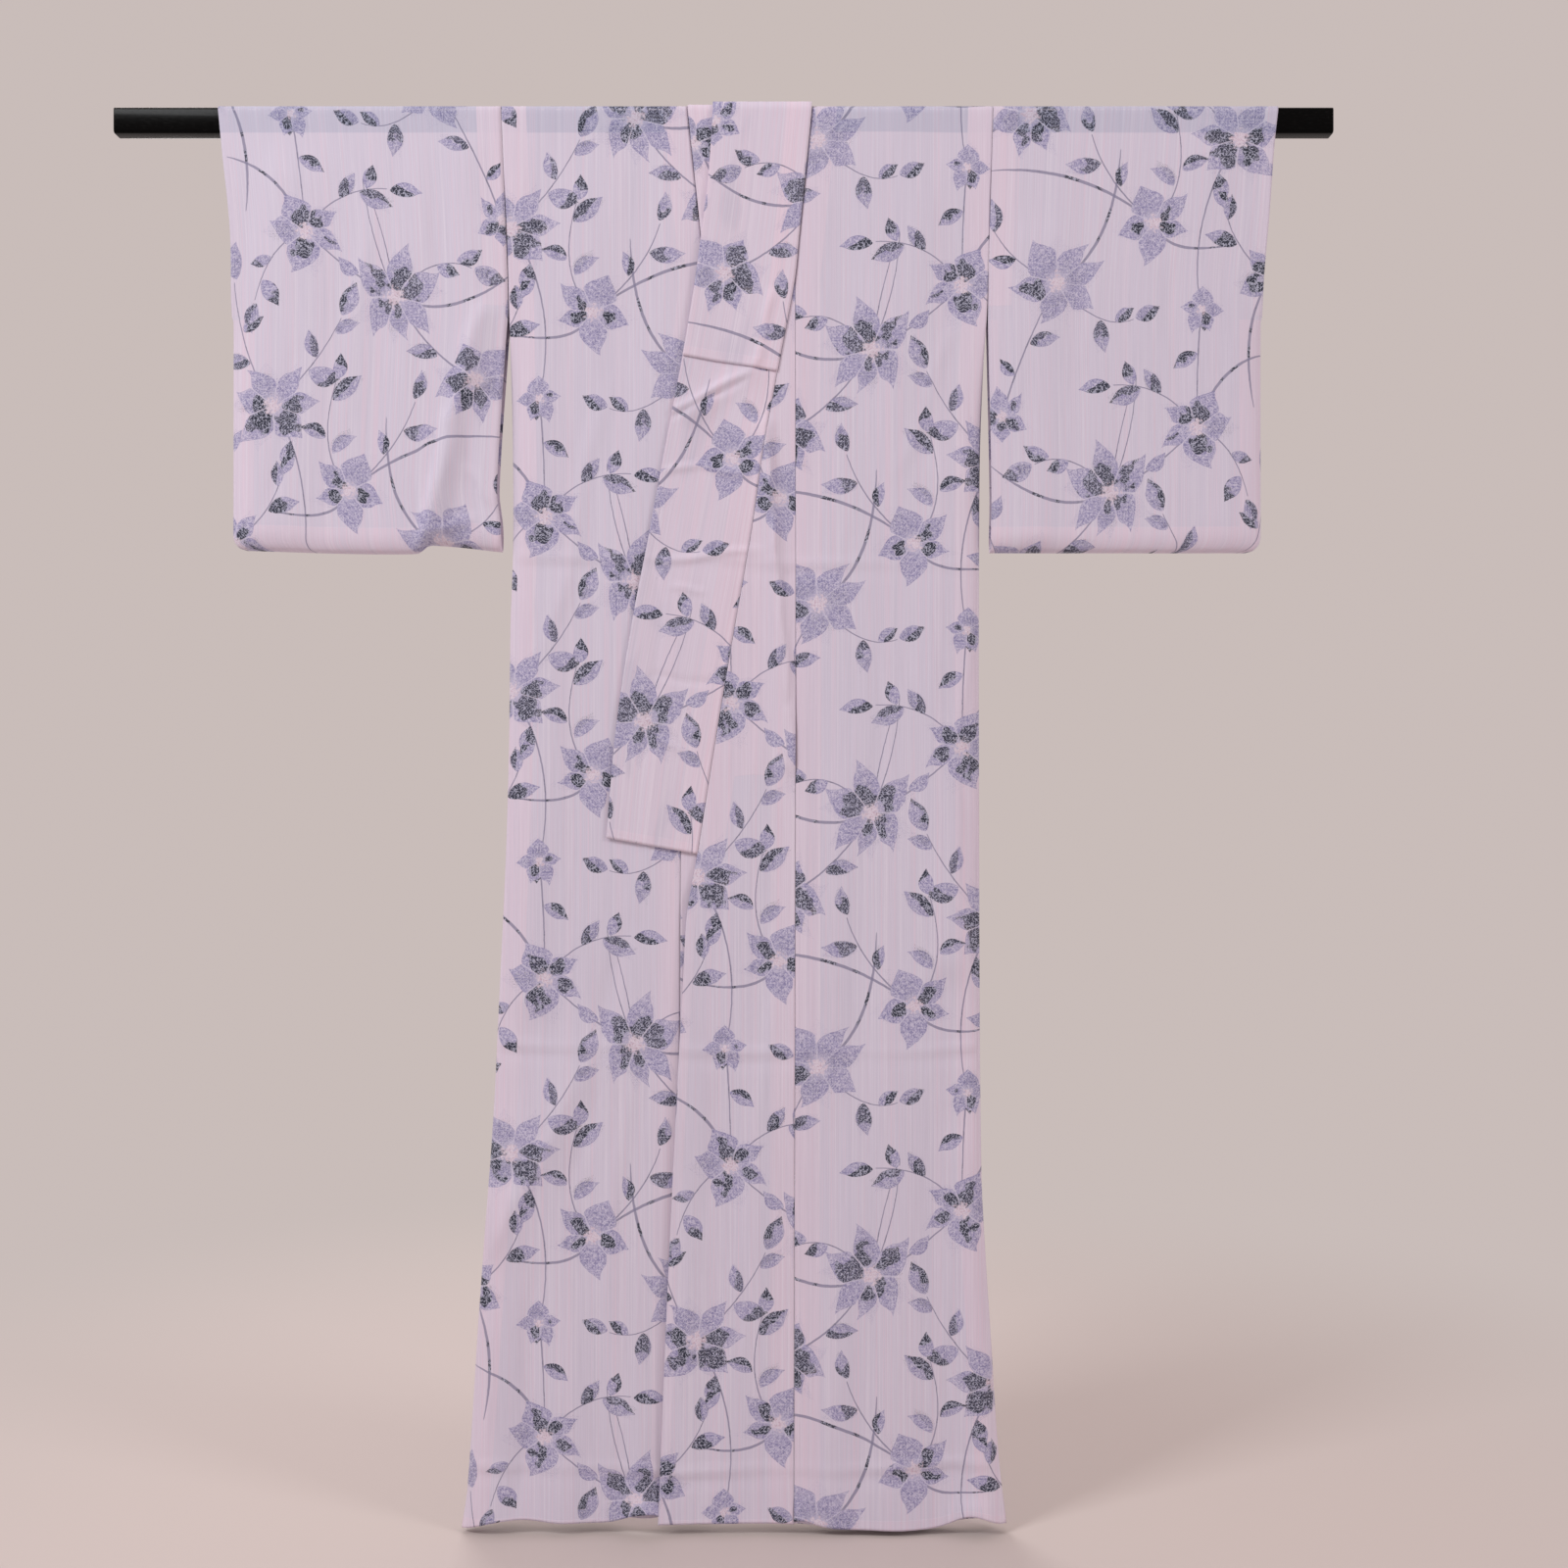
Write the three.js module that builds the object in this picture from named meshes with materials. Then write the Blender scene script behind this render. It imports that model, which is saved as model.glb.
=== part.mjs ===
import * as THREE from 'three';

// A summer kimono hung by its shoulders over a lacquered rod. Millimetres, +Z up, the front faces -Y and
// the origin lies on the rod's axis above the middle of the body. Left and right in names are the wearer's,
// so the wearer's left is at +X. A drop is a distance straight down from the shoulder line.

// Cloth
const CLOTH = 1.2;
const SEAM_GAP = 0.3;
const LAYER = 1.6;
const FOLDED_EDGE = 1.2;
const SEWN_EDGE = (CLOTH + SEAM_GAP) / 2;
const EDGE_ROUND = 22;

// Rod
const ROD_HEIGHT = 29;
const ROD_DEPTH = 22;
const ROD_ROUND = 3.5;
const ROD_RIGHT_HAND_END = -712;
const ROD_LEFT_HAND_END = 660;

// Where the cloth passes over the rod, and the shoulder line on its outer face
const OVER_ROD = ROD_HEIGHT / 2 + 0.4 + CLOTH / 2;
const SHOULDER = OVER_ROD + CLOTH / 2;
const ROD_SIDE_DROP = 5;

// Main drops
const BACK_NECK = 38;
const OVERLAP_TOP = 198;
const SLEEVE_JOIN = 228;
const SIDE_SEAM_TOP = 386;
const SLEEVE_DROP = 502;
const COLLAR_END = 842;
const OVER_COLLAR_END = 300;

// Half of the room between front and back, from the shoulder to the hem
const HANG = [
  { drop: 0, half: 12 },
  { drop: 110, half: 11.8 },
  { drop: 300, half: 10.2 },
  { drop: 620, half: 9.4 },
  { drop: 1200, half: 9.2 },
  { drop: 1600, half: 10.4 },
];

// The body's side edges
const LEFT_SIDE = [
  { drop: 0, x: 277 },
  { drop: 228, x: 270.4 },
  { drop: 300, x: 266 },
  { drop: 433, x: 262.5 },
  { drop: 873, x: 262.5 },
  { drop: 1203, x: 265 },
  { drop: 1298, x: 269.7 },
  { drop: 1380, x: 275 },
  { drop: 1520, x: 284 },
  { drop: 1600, x: 293 },
];
const RIGHT_SIDE = [
  { drop: 0, x: -276 },
  { drop: 228, x: -267.2 },
  { drop: 400, x: -264 },
  { drop: 500, x: -264 },
  { drop: 587, x: -267 },
  { drop: 719, x: -268.6 },
  { drop: 840, x: -272 },
  { drop: 1011, x: -280 },
  { drop: 1148, x: -287 },
  { drop: 1370, x: -303 },
  { drop: 1559, x: -315.5 },
  { drop: 1602, x: -322 },
];

// Collar of the wearer's left: its loose edge, and the edge that is sewn to front and overlap
const COLLAR = [
  { drop: 0, loose: -37.5, seam: 73.8 },
  { drop: 83, loose: -43, seam: 65.6 },
  { drop: 150, loose: -51.5, seam: 58.9 },
  { drop: 198, loose: -58, seam: 54 },
  { drop: 280, loose: -71.6, seam: 38.5 },
  { drop: 376, loose: -90, seam: 20.6 },
  { drop: 478, loose: -109, seam: 5.5 },
  { drop: 580, loose: -128.6, seam: -12.5 },
  { drop: 700, loose: -146.8, seam: -32.8 },
  { drop: 845, loose: -159.5, seam: -55.8 },
];

// Loose front edge of the left overlap, below the collar's end, and the overlaps' seams to the fronts
const OVERLAP_EDGE = [
  { drop: 842, x: -55.6 },
  { drop: 866, x: -60.2 },
  { drop: 913, x: -67.6 },
  { drop: 986, x: -71.8 },
  { drop: 1148, x: -80.4 },
  { drop: 1370, x: -90.7 },
  { drop: 1600, x: -99.6 },
];
const LEFT_OVERLAP_SEAM = [
  { drop: 198, x: 54.4 },
  { drop: 600, x: 55 },
  { drop: 1600, x: 53 },
];
const RIGHT_OVERLAP_SEAM = [
  { drop: 198, x: -47.4 },
  { drop: 300, x: -57.5 },
  { drop: 500, x: -66.5 },
  { drop: 840, x: -74 },
  { drop: 1050, x: -74.8 },
  { drop: 1600, x: -80 },
];

// The right front hangs further out than a mirror image of the left one
const NECK_MIDDLE = 3.5;
const RIGHT_FRONT_SHIFT = [
  { drop: 0, x: 0 },
  { drop: 200, x: 0 },
  { drop: 500, x: 16 },
  { drop: 842, x: 28 },
  { drop: 1600, x: 33 },
];

// The hem's drop across the width
const HEM = [
  { x: -322, drop: 1602 },
  { x: -276, drop: 1593 },
  { x: -160, drop: 1594 },
  { x: -116, drop: 1586 },
  { x: -98, drop: 1594 },
  { x: 53, drop: 1594 },
  { x: 110, drop: 1599 },
  { x: 221, drop: 1600 },
  { x: 254, drop: 1592 },
  { x: 293, drop: 1598 },
];

// Sleeves: the inner edge, sewn on down to SLEEVE_JOIN and loose below, the outer edge and the lower edge
const LEFT_SLEEVE = {
  mouth: 240,
  corner: 18,
  edges: [
    { drop: 0, inner: 277.3, outer: 598 },
    { drop: 41, inner: 276.2, outer: 593.5 },
    { drop: 118, inner: 274, outer: 588 },
    { drop: 195, inner: 271.8, outer: 581.5 },
    { drop: 228, inner: 271.2, outer: 580.6 },
    { drop: 433, inner: 275.4, outer: 580.6 },
    { drop: 502, inner: 274.2, outer: 580.6 },
  ],
  lower: [
    { x: 274, drop: 502 },
    { x: 580, drop: 502 },
  ],
};
const RIGHT_SLEEVE = {
  mouth: 240,
  corner: 16,
  edges: [
    { drop: 0, inner: -276.3, outer: -594.5 },
    { drop: 47, inner: -274.4, outer: -590 },
    { drop: 141, inner: -270.6, outer: -580.8 },
    { drop: 228, inner: -268.2, outer: -580 },
    { drop: 267, inner: -270.9, outer: -580 },
    { drop: 432, inner: -281, outer: -580 },
    { drop: 471, inner: -277, outer: -580 },
    { drop: 502, inner: -276, outer: -580 },
  ],
  lower: [
    { x: -580, drop: 499 },
    { x: -372, drop: 503 },
    { x: -356, drop: 494 },
    { x: -276, drop: 501 },
  ],
};

// The largest folds, each a ridge along a line, with its half width and its height at its two ends
const FRONT_FOLDS = [
  { x0: -178, drop0: 1071, x1: -286, drop1: 1260, width: 36, upper: 3, lower: 5 },
  { x0: -262, drop0: 1240, x1: -288, drop1: 1600, width: 24, upper: 2, lower: 6 },
  { x0: -196, drop0: 1180, x1: -212, drop1: 1600, width: 26, upper: 1, lower: 6 },
  { x0: -128, drop0: 1420, x1: -117, drop1: 1600, width: 15, upper: 1, lower: 9 },
  { x0: -226, drop0: 560, x1: -240, drop1: 1000, width: 24, upper: 2, lower: 4 },
  { x0: 236, drop0: 1180, x1: 262, drop1: 1600, width: 24, upper: 2, lower: 7 },
  { x0: 176, drop0: 1000, x1: 168, drop1: 1600, width: 34, upper: 1, lower: 5 },
  { x0: 96, drop0: 760, x1: 100, drop1: 1600, width: 26, upper: 1, lower: 4 },
  { x0: 214, drop0: 420, x1: 226, drop1: 960, width: 24, upper: 2, lower: 4 },
];
const TOP_FRONT_FOLDS = [
  { x0: 21, drop0: 362, x1: 47, drop1: 740, width: 11, upper: 5, lower: 3 },
  { x0: -60, drop0: 345, x1: 4, drop1: 300, width: 13, upper: 4, lower: 2 },
  { x0: -62, drop0: 900, x1: -76, drop1: 1600, width: 24, upper: 3, lower: 3 },
];
const BACK_FOLDS = [
  { x0: -232, drop0: 470, x1: -272, drop1: 1600, width: 26, upper: 2, lower: 7 },
  { x0: -150, drop0: 760, x1: -176, drop1: 1600, width: 30, upper: 1, lower: 6 },
  { x0: -62, drop0: 300, x1: -74, drop1: 1600, width: 26, upper: 1, lower: 5 },
  { x0: 52, drop0: 260, x1: 58, drop1: 1600, width: 26, upper: 1, lower: 5 },
  { x0: 144, drop0: 820, x1: 160, drop1: 1600, width: 30, upper: 1, lower: 6 },
  { x0: 226, drop0: 440, x1: 256, drop1: 1600, width: 26, upper: 2, lower: 7 },
];
const SLEEVE_FRONT_FOLDS = [
  { x0: -296, drop0: 236, x1: -360, drop1: 502, width: 15, upper: 3, lower: 11 },
  { x0: -318, drop0: 60, x1: -306, drop1: 300, width: 24, upper: 2, lower: 4 },
  { x0: -520, drop0: 90, x1: -524, drop1: 460, width: 34, upper: 3, lower: 3 },
  { x0: 520, drop0: 60, x1: 530, drop1: 460, width: 34, upper: 3, lower: 3 },
  { x0: 330, drop0: 160, x1: 322, drop1: 480, width: 26, upper: 2, lower: 4 },
];
const SLEEVE_BACK_FOLDS = [
  { x0: -330, drop0: 120, x1: -344, drop1: 470, width: 28, upper: 2, lower: 4 },
  { x0: -470, drop0: 60, x1: -462, drop1: 440, width: 34, upper: 2, lower: 4 },
  { x0: 350, drop0: 120, x1: 346, drop1: 470, width: 28, upper: 2, lower: 4 },
  { x0: 484, drop0: 60, x1: 492, drop1: 440, width: 34, upper: 2, lower: 4 },
];

const mix = THREE.MathUtils.lerp;
const ease = THREE.MathUtils.smoothstep;

// A smooth curve through one column of a table, read at a place in its key column
function along(rows, column, place, key = 'drop') {
  const last = rows.length - 1;
  if (place <= rows[0][key]) return rows[0][column];
  if (place >= rows[last][key]) return rows[last][column];
  const slope = (a, b) => (rows[b][column] - rows[a][column]) / (rows[b][key] - rows[a][key]);
  const i = rows.findIndex((row) => row[key] > place) - 1;
  const step = rows[i + 1][key] - rows[i][key];
  const t = (place - rows[i][key]) / step;
  const here = slope(Math.max(i - 1, 0), i + 1) * step;
  const there = slope(i, Math.min(i + 2, last)) * step;
  const bend = t * (1 - t) * (here * (1 - t) - there * t);
  const blend = t * t * (3 - 2 * t);
  return mix(rows[i][column], rows[i + 1][column], blend) + bend;
}

// How far the folds of a table lift the cloth at a place
function folds(rows, x, drop) {
  let lift = 0;
  for (const { x0, drop0, x1, drop1, width, upper, lower } of rows) {
    const dx = x1 - x0;
    const dd = drop1 - drop0;
    const t = THREE.MathUtils.clamp(((x - x0) * dx + (drop - drop0) * dd) / (dx * dx + dd * dd), 0, 1);
    const away = Math.hypot(x - x0 - t * dx, drop - drop0 - t * dd) / width;
    lift += mix(upper, lower, t) * Math.exp(-away * away);
  }
  return lift;
}

// From 0 on a closed edge to 1 where the cloth has rounded off to its full depth
function rounding(distance) {
  const t = THREE.MathUtils.clamp(1 - distance / EDGE_ROUND, 0, 1);
  return Math.sqrt(1 - t * t);
}

// How far the body's front and back lie from its middle plane. At the side seam they meet, and the folds
// of one push the other along; a little way in, and above the seam, both have their full depth.
function bodyDepth(x, drop) {
  const side = x > 0 ? along(LEFT_SIDE, 'x', drop) - x : x - along(RIGHT_SIDE, 'x', drop);
  const full = mix(1, rounding(Math.max(side, 0)), ease(drop, SLEEVE_JOIN, SIDE_SEAM_TOP));
  const half = mix(SEWN_EDGE, along(HANG, 'half', drop), full);
  const front = folds(FRONT_FOLDS, x, drop);
  const back = folds(BACK_FOLDS, x, drop);
  const push = (1 - full) * (back - front) / 2;
  return { front: half + full * front - push, back: half + full * back + push };
}

// Front of the body at a layer: 0 is the right front, 2 the left front over it
function frontPoint(x, drop, layer) {
  const top = layer >= 2 ? folds(TOP_FRONT_FOLDS, x, drop) : 0;
  return new THREE.Vector3(x, -bodyDepth(x, drop).front - layer * LAYER - top, SHOULDER - drop);
}

function backPoint(x, drop, layer) {
  return new THREE.Vector3(x, bodyDepth(x, drop).back + layer * LAYER, SHOULDER - drop);
}

// The points over the rod between front and back, and the way each moves out from layer to layer
const ROD_POINTS = [
  { y: -10.9, up: -1.1, outY: -0.75, outZ: 0.75 },
  { y: -7.4, up: 0, outY: -0.25, outZ: 1 },
  { y: 0, up: 0.15, outY: 0, outZ: 1 },
  { y: 7.4, up: 0, outY: 0.25, outZ: 1 },
  { y: 10.9, up: -1.1, outY: 0.75, outZ: 0.75 },
];
function rodPoint(x, index, layer) {
  const { y, up, outY, outZ } = ROD_POINTS[index];
  const out = layer * LAYER;
  return new THREE.Vector3(x, y + outY * out, OVER_ROD + up + outZ * out);
}

// The left front lies over the right one as far as LAID_OVER, and comes down to the back's level by LAID_OUT
const LAID_OVER = 165;
const LAID_OUT = 235;
const leftFrontLayer = (x) => 2 * (1 - ease(x, LAID_OVER, LAID_OUT));
const collarSeam = (drop) => along(COLLAR, 'seam', drop);
const toRight = (x, drop) => 2 * NECK_MIDDLE - x - along(RIGHT_FRONT_SHIFT, 'x', drop);
const hemDrop = (x) => along(HEM, 'drop', x, 'x');

// A piece of cloth is a sheet of quads that share their corners. Where it bends, its corners move further
// out to keep the thickness, up to a limit.
const SHARPEST_LEAN = 0.6;
class Cloth {
  constructor() {
    this.points = [];
    this.places = new Map();
    this.quads = [];
  }

  corner(point) {
    const name = point.toArray().map((value) => value.toFixed(3)).join(' ');
    if (!this.places.has(name)) {
      this.places.set(name, this.points.length);
      this.points.push(point);
    }
    return this.places.get(name);
  }

  quad(...corners) {
    this.quads.push(corners.map((point) => this.corner(point)));
  }

  // Quads between neighbouring lines of points; a line may leave out its first or last points with null
  join(lines) {
    for (let row = 0; row + 1 < lines.length; row++) {
      for (let i = 0; i + 1 < lines[row].length; i++) {
        const corners = [lines[row][i], lines[row][i + 1], lines[row + 1][i + 1], lines[row + 1][i]];
        if (corners.every((corner) => corner)) this.quad(...corners);
      }
    }
  }

  // The sheet given its thickness to both sides, closed along its edges
  wall() {
    const sums = this.points.map(() => ({ normal: new THREE.Vector3(), faces: [] }));
    const edges = new Map();
    for (const quad of this.quads) {
      const [a, b, c, d] = quad.map((corner) => this.points[corner]);
      const normal = c.clone().sub(a).cross(d.clone().sub(b)).normalize();
      quad.forEach((corner, i) => {
        sums[corner].normal.add(normal);
        sums[corner].faces.push(normal);
        edges.set(`${corner} ${quad[(i + 1) % 4]}`, [corner, quad[(i + 1) % 4]]);
      });
    }
    const outer = [];
    const inner = [];
    sums.forEach(({ normal, faces }, i) => {
      normal.normalize();
      const lean = faces.reduce((sum, face) => sum + face.dot(normal), 0) / faces.length;
      const reach = CLOTH / 2 / Math.max(lean, SHARPEST_LEAN);
      outer.push(this.points[i].clone().addScaledVector(normal, reach));
      inner.push(this.points[i].clone().addScaledVector(normal, -reach));
    });
    const count = this.points.length;
    const index = [];
    const face = (a, b, c, d) => index.push(a, b, c, c, d, a);
    for (const [a, b, c, d] of this.quads) {
      face(a, b, c, d);
      face(count + c, count + b, count + a, count + d);
    }
    for (const [a, b] of edges.values()) {
      if (!edges.has(`${b} ${a}`)) face(b, a, count + a, count + b);
    }
    const geometry = new THREE.BufferGeometry().setFromPoints([...outer, ...inner]);
    geometry.setIndex(index);
    geometry.computeVertexNormals();
    return geometry;
  }
}

// Drops of the rows of points, from the rod's side down to the hem
const NECK_ROWS = [ROD_SIDE_DROP, BACK_NECK, 110, OVERLAP_TOP];
const LOWER_ROWS = [986, 1090, 1180, 1270, 1360, 1440, 1520, 1600];
const BODY_ROWS = [
  ...NECK_ROWS, SLEEVE_JOIN, OVER_COLLAR_END, SIDE_SEAM_TOP, 480, 590, 700, 790, 880, ...LOWER_ROWS,
];
const FRONT_COLUMNS = [0, 0.2, 0.4, 0.58, 0.74, 0.86, 0.94, 0.98, 1];
const NECK_COLUMNS = [0, 0.36, 0.72];

// One half of the body, which is a single length from the front hem over the rod to the back hem. It is
// parted along the top of the rod into a front and a back, and they meet again at the side seam.
const ROD_TOP = 2;
function bodyHalves(side, innerEdge, sideEdge, frontLayer) {
  const hem = BODY_ROWS.length - 1;
  const dropAt = (x, row) => (row === hem ? hemDrop(x) : BODY_ROWS[row]);
  const neck = innerEdge(ROD_SIDE_DROP);
  const shoulder = FRONT_COLUMNS.map((s) => mix(neck, sideEdge(ROD_SIDE_DROP), s));
  const middle = (side * SEAM_GAP) / 2;
  const backTop = [...NECK_COLUMNS.map((s) => mix(middle, neck, s)), ...shoulder];

  const over = ROD_POINTS.map((_, i) => shoulder.map((x) => rodPoint(x, i, 0)));
  const parting = (sign) => over[ROD_TOP].map(({ x, z }) => new THREE.Vector3(x, (sign * SEAM_GAP) / 2, z));

  const front = new Cloth();
  const frontLines = BODY_ROWS.map((drop, row) => FRONT_COLUMNS.map((s) => {
    const x = mix(innerEdge(drop), sideEdge(drop), s);
    return frontPoint(x, dropAt(x, row), frontLayer(x));
  }));
  front.join([...frontLines.reverse(), ...over.slice(0, ROD_TOP), parting(-1)]);

  const back = new Cloth();
  const besideNeck = (line) => [...NECK_COLUMNS.map(() => null), ...line];
  const backLines = BODY_ROWS.map((drop, row) => backTop.map((top, i) => {
    if (drop < BACK_NECK && i < NECK_COLUMNS.length) return null;
    const share = (top - middle) / (sideEdge(ROD_SIDE_DROP) - middle);
    const x = mix(middle, sideEdge(drop), share);
    return backPoint(x, dropAt(x, row), 0);
  }));
  back.join([...[parting(1), ...over.slice(ROD_TOP + 1)].map(besideNeck), ...backLines]);
  return { front: front.wall(), back: back.wall() };
}

// A front overlap: between two edges, from its point at the collar down to the hem
const SEAM_ROWS = [240, OVER_COLLAR_END, 386, 480, 590, 700, 790, COLLAR_END];
const OVERLAP_ROWS = [OVERLAP_TOP + 8, ...SEAM_ROWS, 866, 913, ...LOWER_ROWS];
function overlap(looseEdge, seamEdge, layer) {
  const hem = OVERLAP_ROWS.length - 1;
  const cloth = new Cloth();
  cloth.join(OVERLAP_ROWS.map((drop, row) => [0, 0.25, 0.5, 0.75, 1].map((s) => {
    const x = mix(looseEdge(drop), seamEdge(drop), s);
    return frontPoint(x, row === hem ? hemDrop(x) : drop, layer);
  })).reverse());
  return cloth.wall();
}

// Half of a collar, which is one band up the front, over the rod and down the back to the neck. It is parted
// where it leaves the rod into a front band and a neck. The neck's part that crosses the middle ends on top
// of the rod. Rows lie square to the band, so they tilt as it leans.
const BAND_ROWS = [ROD_SIDE_DROP + SEAM_GAP, ...NECK_ROWS.slice(1), ...SEAM_ROWS];
const BAND_TILT = 18;
const FULL_TILT = 260;
const BAND_COLUMNS = [0, 0.17, null, 0.56, 0.78, 1];
function collarHalf(side, place, layers, lastRow) {
  const top = { loose: along(COLLAR, 'loose', ROD_SIDE_DROP), seam: collarSeam(ROD_SIDE_DROP) };
  const centre = side > 0 ? SEAM_GAP / 2 : 2 * NECK_MIDDLE + SEAM_GAP / 2;
  const middle = (centre - top.loose) / (top.seam - top.loose);
  const columns = BAND_COLUMNS.map((s) => s ?? middle);
  const bandLine = (drop) => columns.map((s) => {
    const low = drop - BAND_TILT * (1 - s) * ease(drop, ROD_SIDE_DROP, FULL_TILT);
    const x = place(mix(along(COLLAR, 'loose', low), collarSeam(low), s), low);
    return frontPoint(x, low, layers.front);
  });
  const band = new Cloth();
  band.join(BAND_ROWS.filter((drop) => drop <= lastRow).reverse().map(bandLine));

  const across = columns.map((s) => place(mix(top.loose, top.seam, s), ROD_SIDE_DROP));
  const past = (i) => i >= BAND_COLUMNS.indexOf(null);
  const reaches = (k, i) => k <= layers.crossing || past(i);
  const front = bandLine(ROD_SIDE_DROP).map((point, i) => (reaches(0, i) ? point : null));
  const over = ROD_POINTS.map((_, k) => across.map((x, i) => (
    reaches(k, i) ? rodPoint(x, k, layers.over[k]) : null)));
  const back = [ROD_SIDE_DROP, BACK_NECK - CLOTH / 2].map((drop, k) => across.map((x, i) => (
    past(i) ? backPoint(x, drop, layers.back[k]) : null)));
  const neck = new Cloth();
  neck.join([front, ...over, ...back]);
  return { band: band.wall(), neck: neck.wall() };
}

// A sleeve: one length folded over the rod, closed along its lower edge and outside below the mouth
const MOUTH_EASE = 35;
const SLEEVE_ROWS = [ROD_SIDE_DROP, 60, 130, 190, 240, 300, 360, 420, 456, 480, 490, 498, SLEEVE_DROP];
const SLEEVE_COLUMNS = [0, 0.1, 0.22, 0.32, 0.45, 0.6, 0.76, 0.88, 0.95, 0.985, 1];
function sleeve({ mouth, corner, edges, lower }) {
  const last = SLEEVE_ROWS.length - 1;
  const outerEdge = (drop) => {
    const turn = THREE.MathUtils.clamp((drop - SLEEVE_DROP + corner) / corner, 0, 1);
    const cut = corner * (1 - Math.sqrt(1 - turn * turn));
    const x = along(edges, 'outer', drop);
    return x - Math.sign(x) * cut;
  };
  const half = (x, drop) => {
    const full = along(HANG, 'half', drop);
    const closed = ease(drop, mouth - MOUTH_EASE, mouth + MOUTH_EASE);
    const outside = mix(1, rounding(Math.abs(along(edges, 'outer', drop) - x)), closed);
    return mix(FOLDED_EDGE, full, outside * rounding(SLEEVE_DROP - drop));
  };
  const line = (drop, sign, table) => SLEEVE_COLUMNS.map((s) => {
    const x = mix(along(edges, 'inner', drop), outerEdge(drop), s);
    const stretch = along(lower, 'drop', x, 'x') / SLEEVE_DROP - 1;
    const low = drop * (1 + stretch * ease(drop, mouth, SLEEVE_DROP));
    const out = half(x, drop) + folds(table, x, drop);
    return new THREE.Vector3(x, sign * out, SHOULDER - low);
  });
  const front = SLEEVE_ROWS.map((drop) => line(drop, -1, SLEEVE_FRONT_FOLDS));
  const back = SLEEVE_ROWS.map((drop) => line(drop, 1, SLEEVE_BACK_FOLDS));
  const over = ROD_POINTS.map((_, i) => front[0].map(({ x }) => rodPoint(x, i, 0)));
  const cloth = new Cloth();
  cloth.join([...front.slice().reverse(), ...over, ...back]);
  for (let row = SLEEVE_ROWS.indexOf(mouth); row < last; row++) {
    cloth.quad(front[row].at(-1), front[row + 1].at(-1), back[row + 1].at(-1), back[row].at(-1));
  }
  for (let i = 0; i + 1 < SLEEVE_COLUMNS.length; i++) {
    cloth.quad(front[last][i + 1], front[last][i], back[last][i], back[last][i + 1]);
  }
  return cloth.wall();
}

// The rod: a rail with rounded corners, square at its ends
function rod() {
  const up = ROD_HEIGHT / 2 - ROD_ROUND;
  const out = ROD_DEPTH / 2 - ROD_ROUND;
  const quarter = Math.PI / 2;
  const section = new THREE.Shape();
  section.moveTo(-out, -up - ROD_ROUND);
  [[out, -up], [out, up], [-out, up], [-out, -up]].forEach(([across, height], i) => {
    section.absarc(across, height, ROD_ROUND, (i - 1) * quarter, i * quarter);
  });
  const length = ROD_LEFT_HAND_END - ROD_RIGHT_HAND_END;
  const solid = { depth: length, bevelEnabled: false, curveSegments: 3 };
  const geometry = new THREE.ExtrudeGeometry(section, solid);
  geometry.rotateZ(Math.PI / 2).rotateY(Math.PI / 2);
  geometry.translate(ROD_RIGHT_HAND_END, 0, 0);
  return geometry;
}

const fabric = () => new THREE.MeshStandardMaterial({ color: 0xd6cbd6, roughness: 0.9, metalness: 0 });
const lacquer = () => new THREE.MeshStandardMaterial({ color: 0x0b0a0b, roughness: 0.2, metalness: 0 });

const kimono = new THREE.Group();
function add(name, geometry, material) {
  const mesh = new THREE.Mesh(geometry, material);
  mesh.name = name;
  kimono.add(mesh);
}

const leftSide = (drop) => along(LEFT_SIDE, 'x', drop);
const rightSide = (drop) => along(RIGHT_SIDE, 'x', drop);
const leftSeam = (drop) => along(LEFT_OVERLAP_SEAM, 'x', drop);
const rightSeam = (drop) => along(RIGHT_OVERLAP_SEAM, 'x', drop);
const rightCollarSeam = (drop) => toRight(collarSeam(drop), drop);
const overlapEdge = (drop) => (drop < COLLAR_END ? collarSeam(drop) : along(OVERLAP_EDGE, 'x', drop));

const leftInner = (drop) => (drop < OVERLAP_TOP ? collarSeam(drop) : leftSeam(drop)) + SEAM_GAP;
const rightInner = (drop) => (drop < OVERLAP_TOP ? rightCollarSeam(drop) : rightSeam(drop)) - SEAM_GAP;

const left = bodyHalves(1, leftInner, leftSide, leftFrontLayer);
const right = bodyHalves(-1, rightInner, rightSide, () => 0);
add('front_left', left.front, fabric());
add('back_left', left.back, fabric());
add('front_right', right.front, fabric());
add('back_right', right.back, fabric());
add('okumi_left', overlap((drop) => overlapEdge(drop) + SEAM_GAP, leftSeam, 2), fabric());
add('okumi_right', overlap((drop) => toRight(overlapEdge(drop), drop) - SEAM_GAP, rightSeam, 0), fabric());
add('sleeve_left', sleeve(LEFT_SLEEVE), fabric());
add('sleeve_right', sleeve(RIGHT_SLEEVE), fabric());

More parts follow.
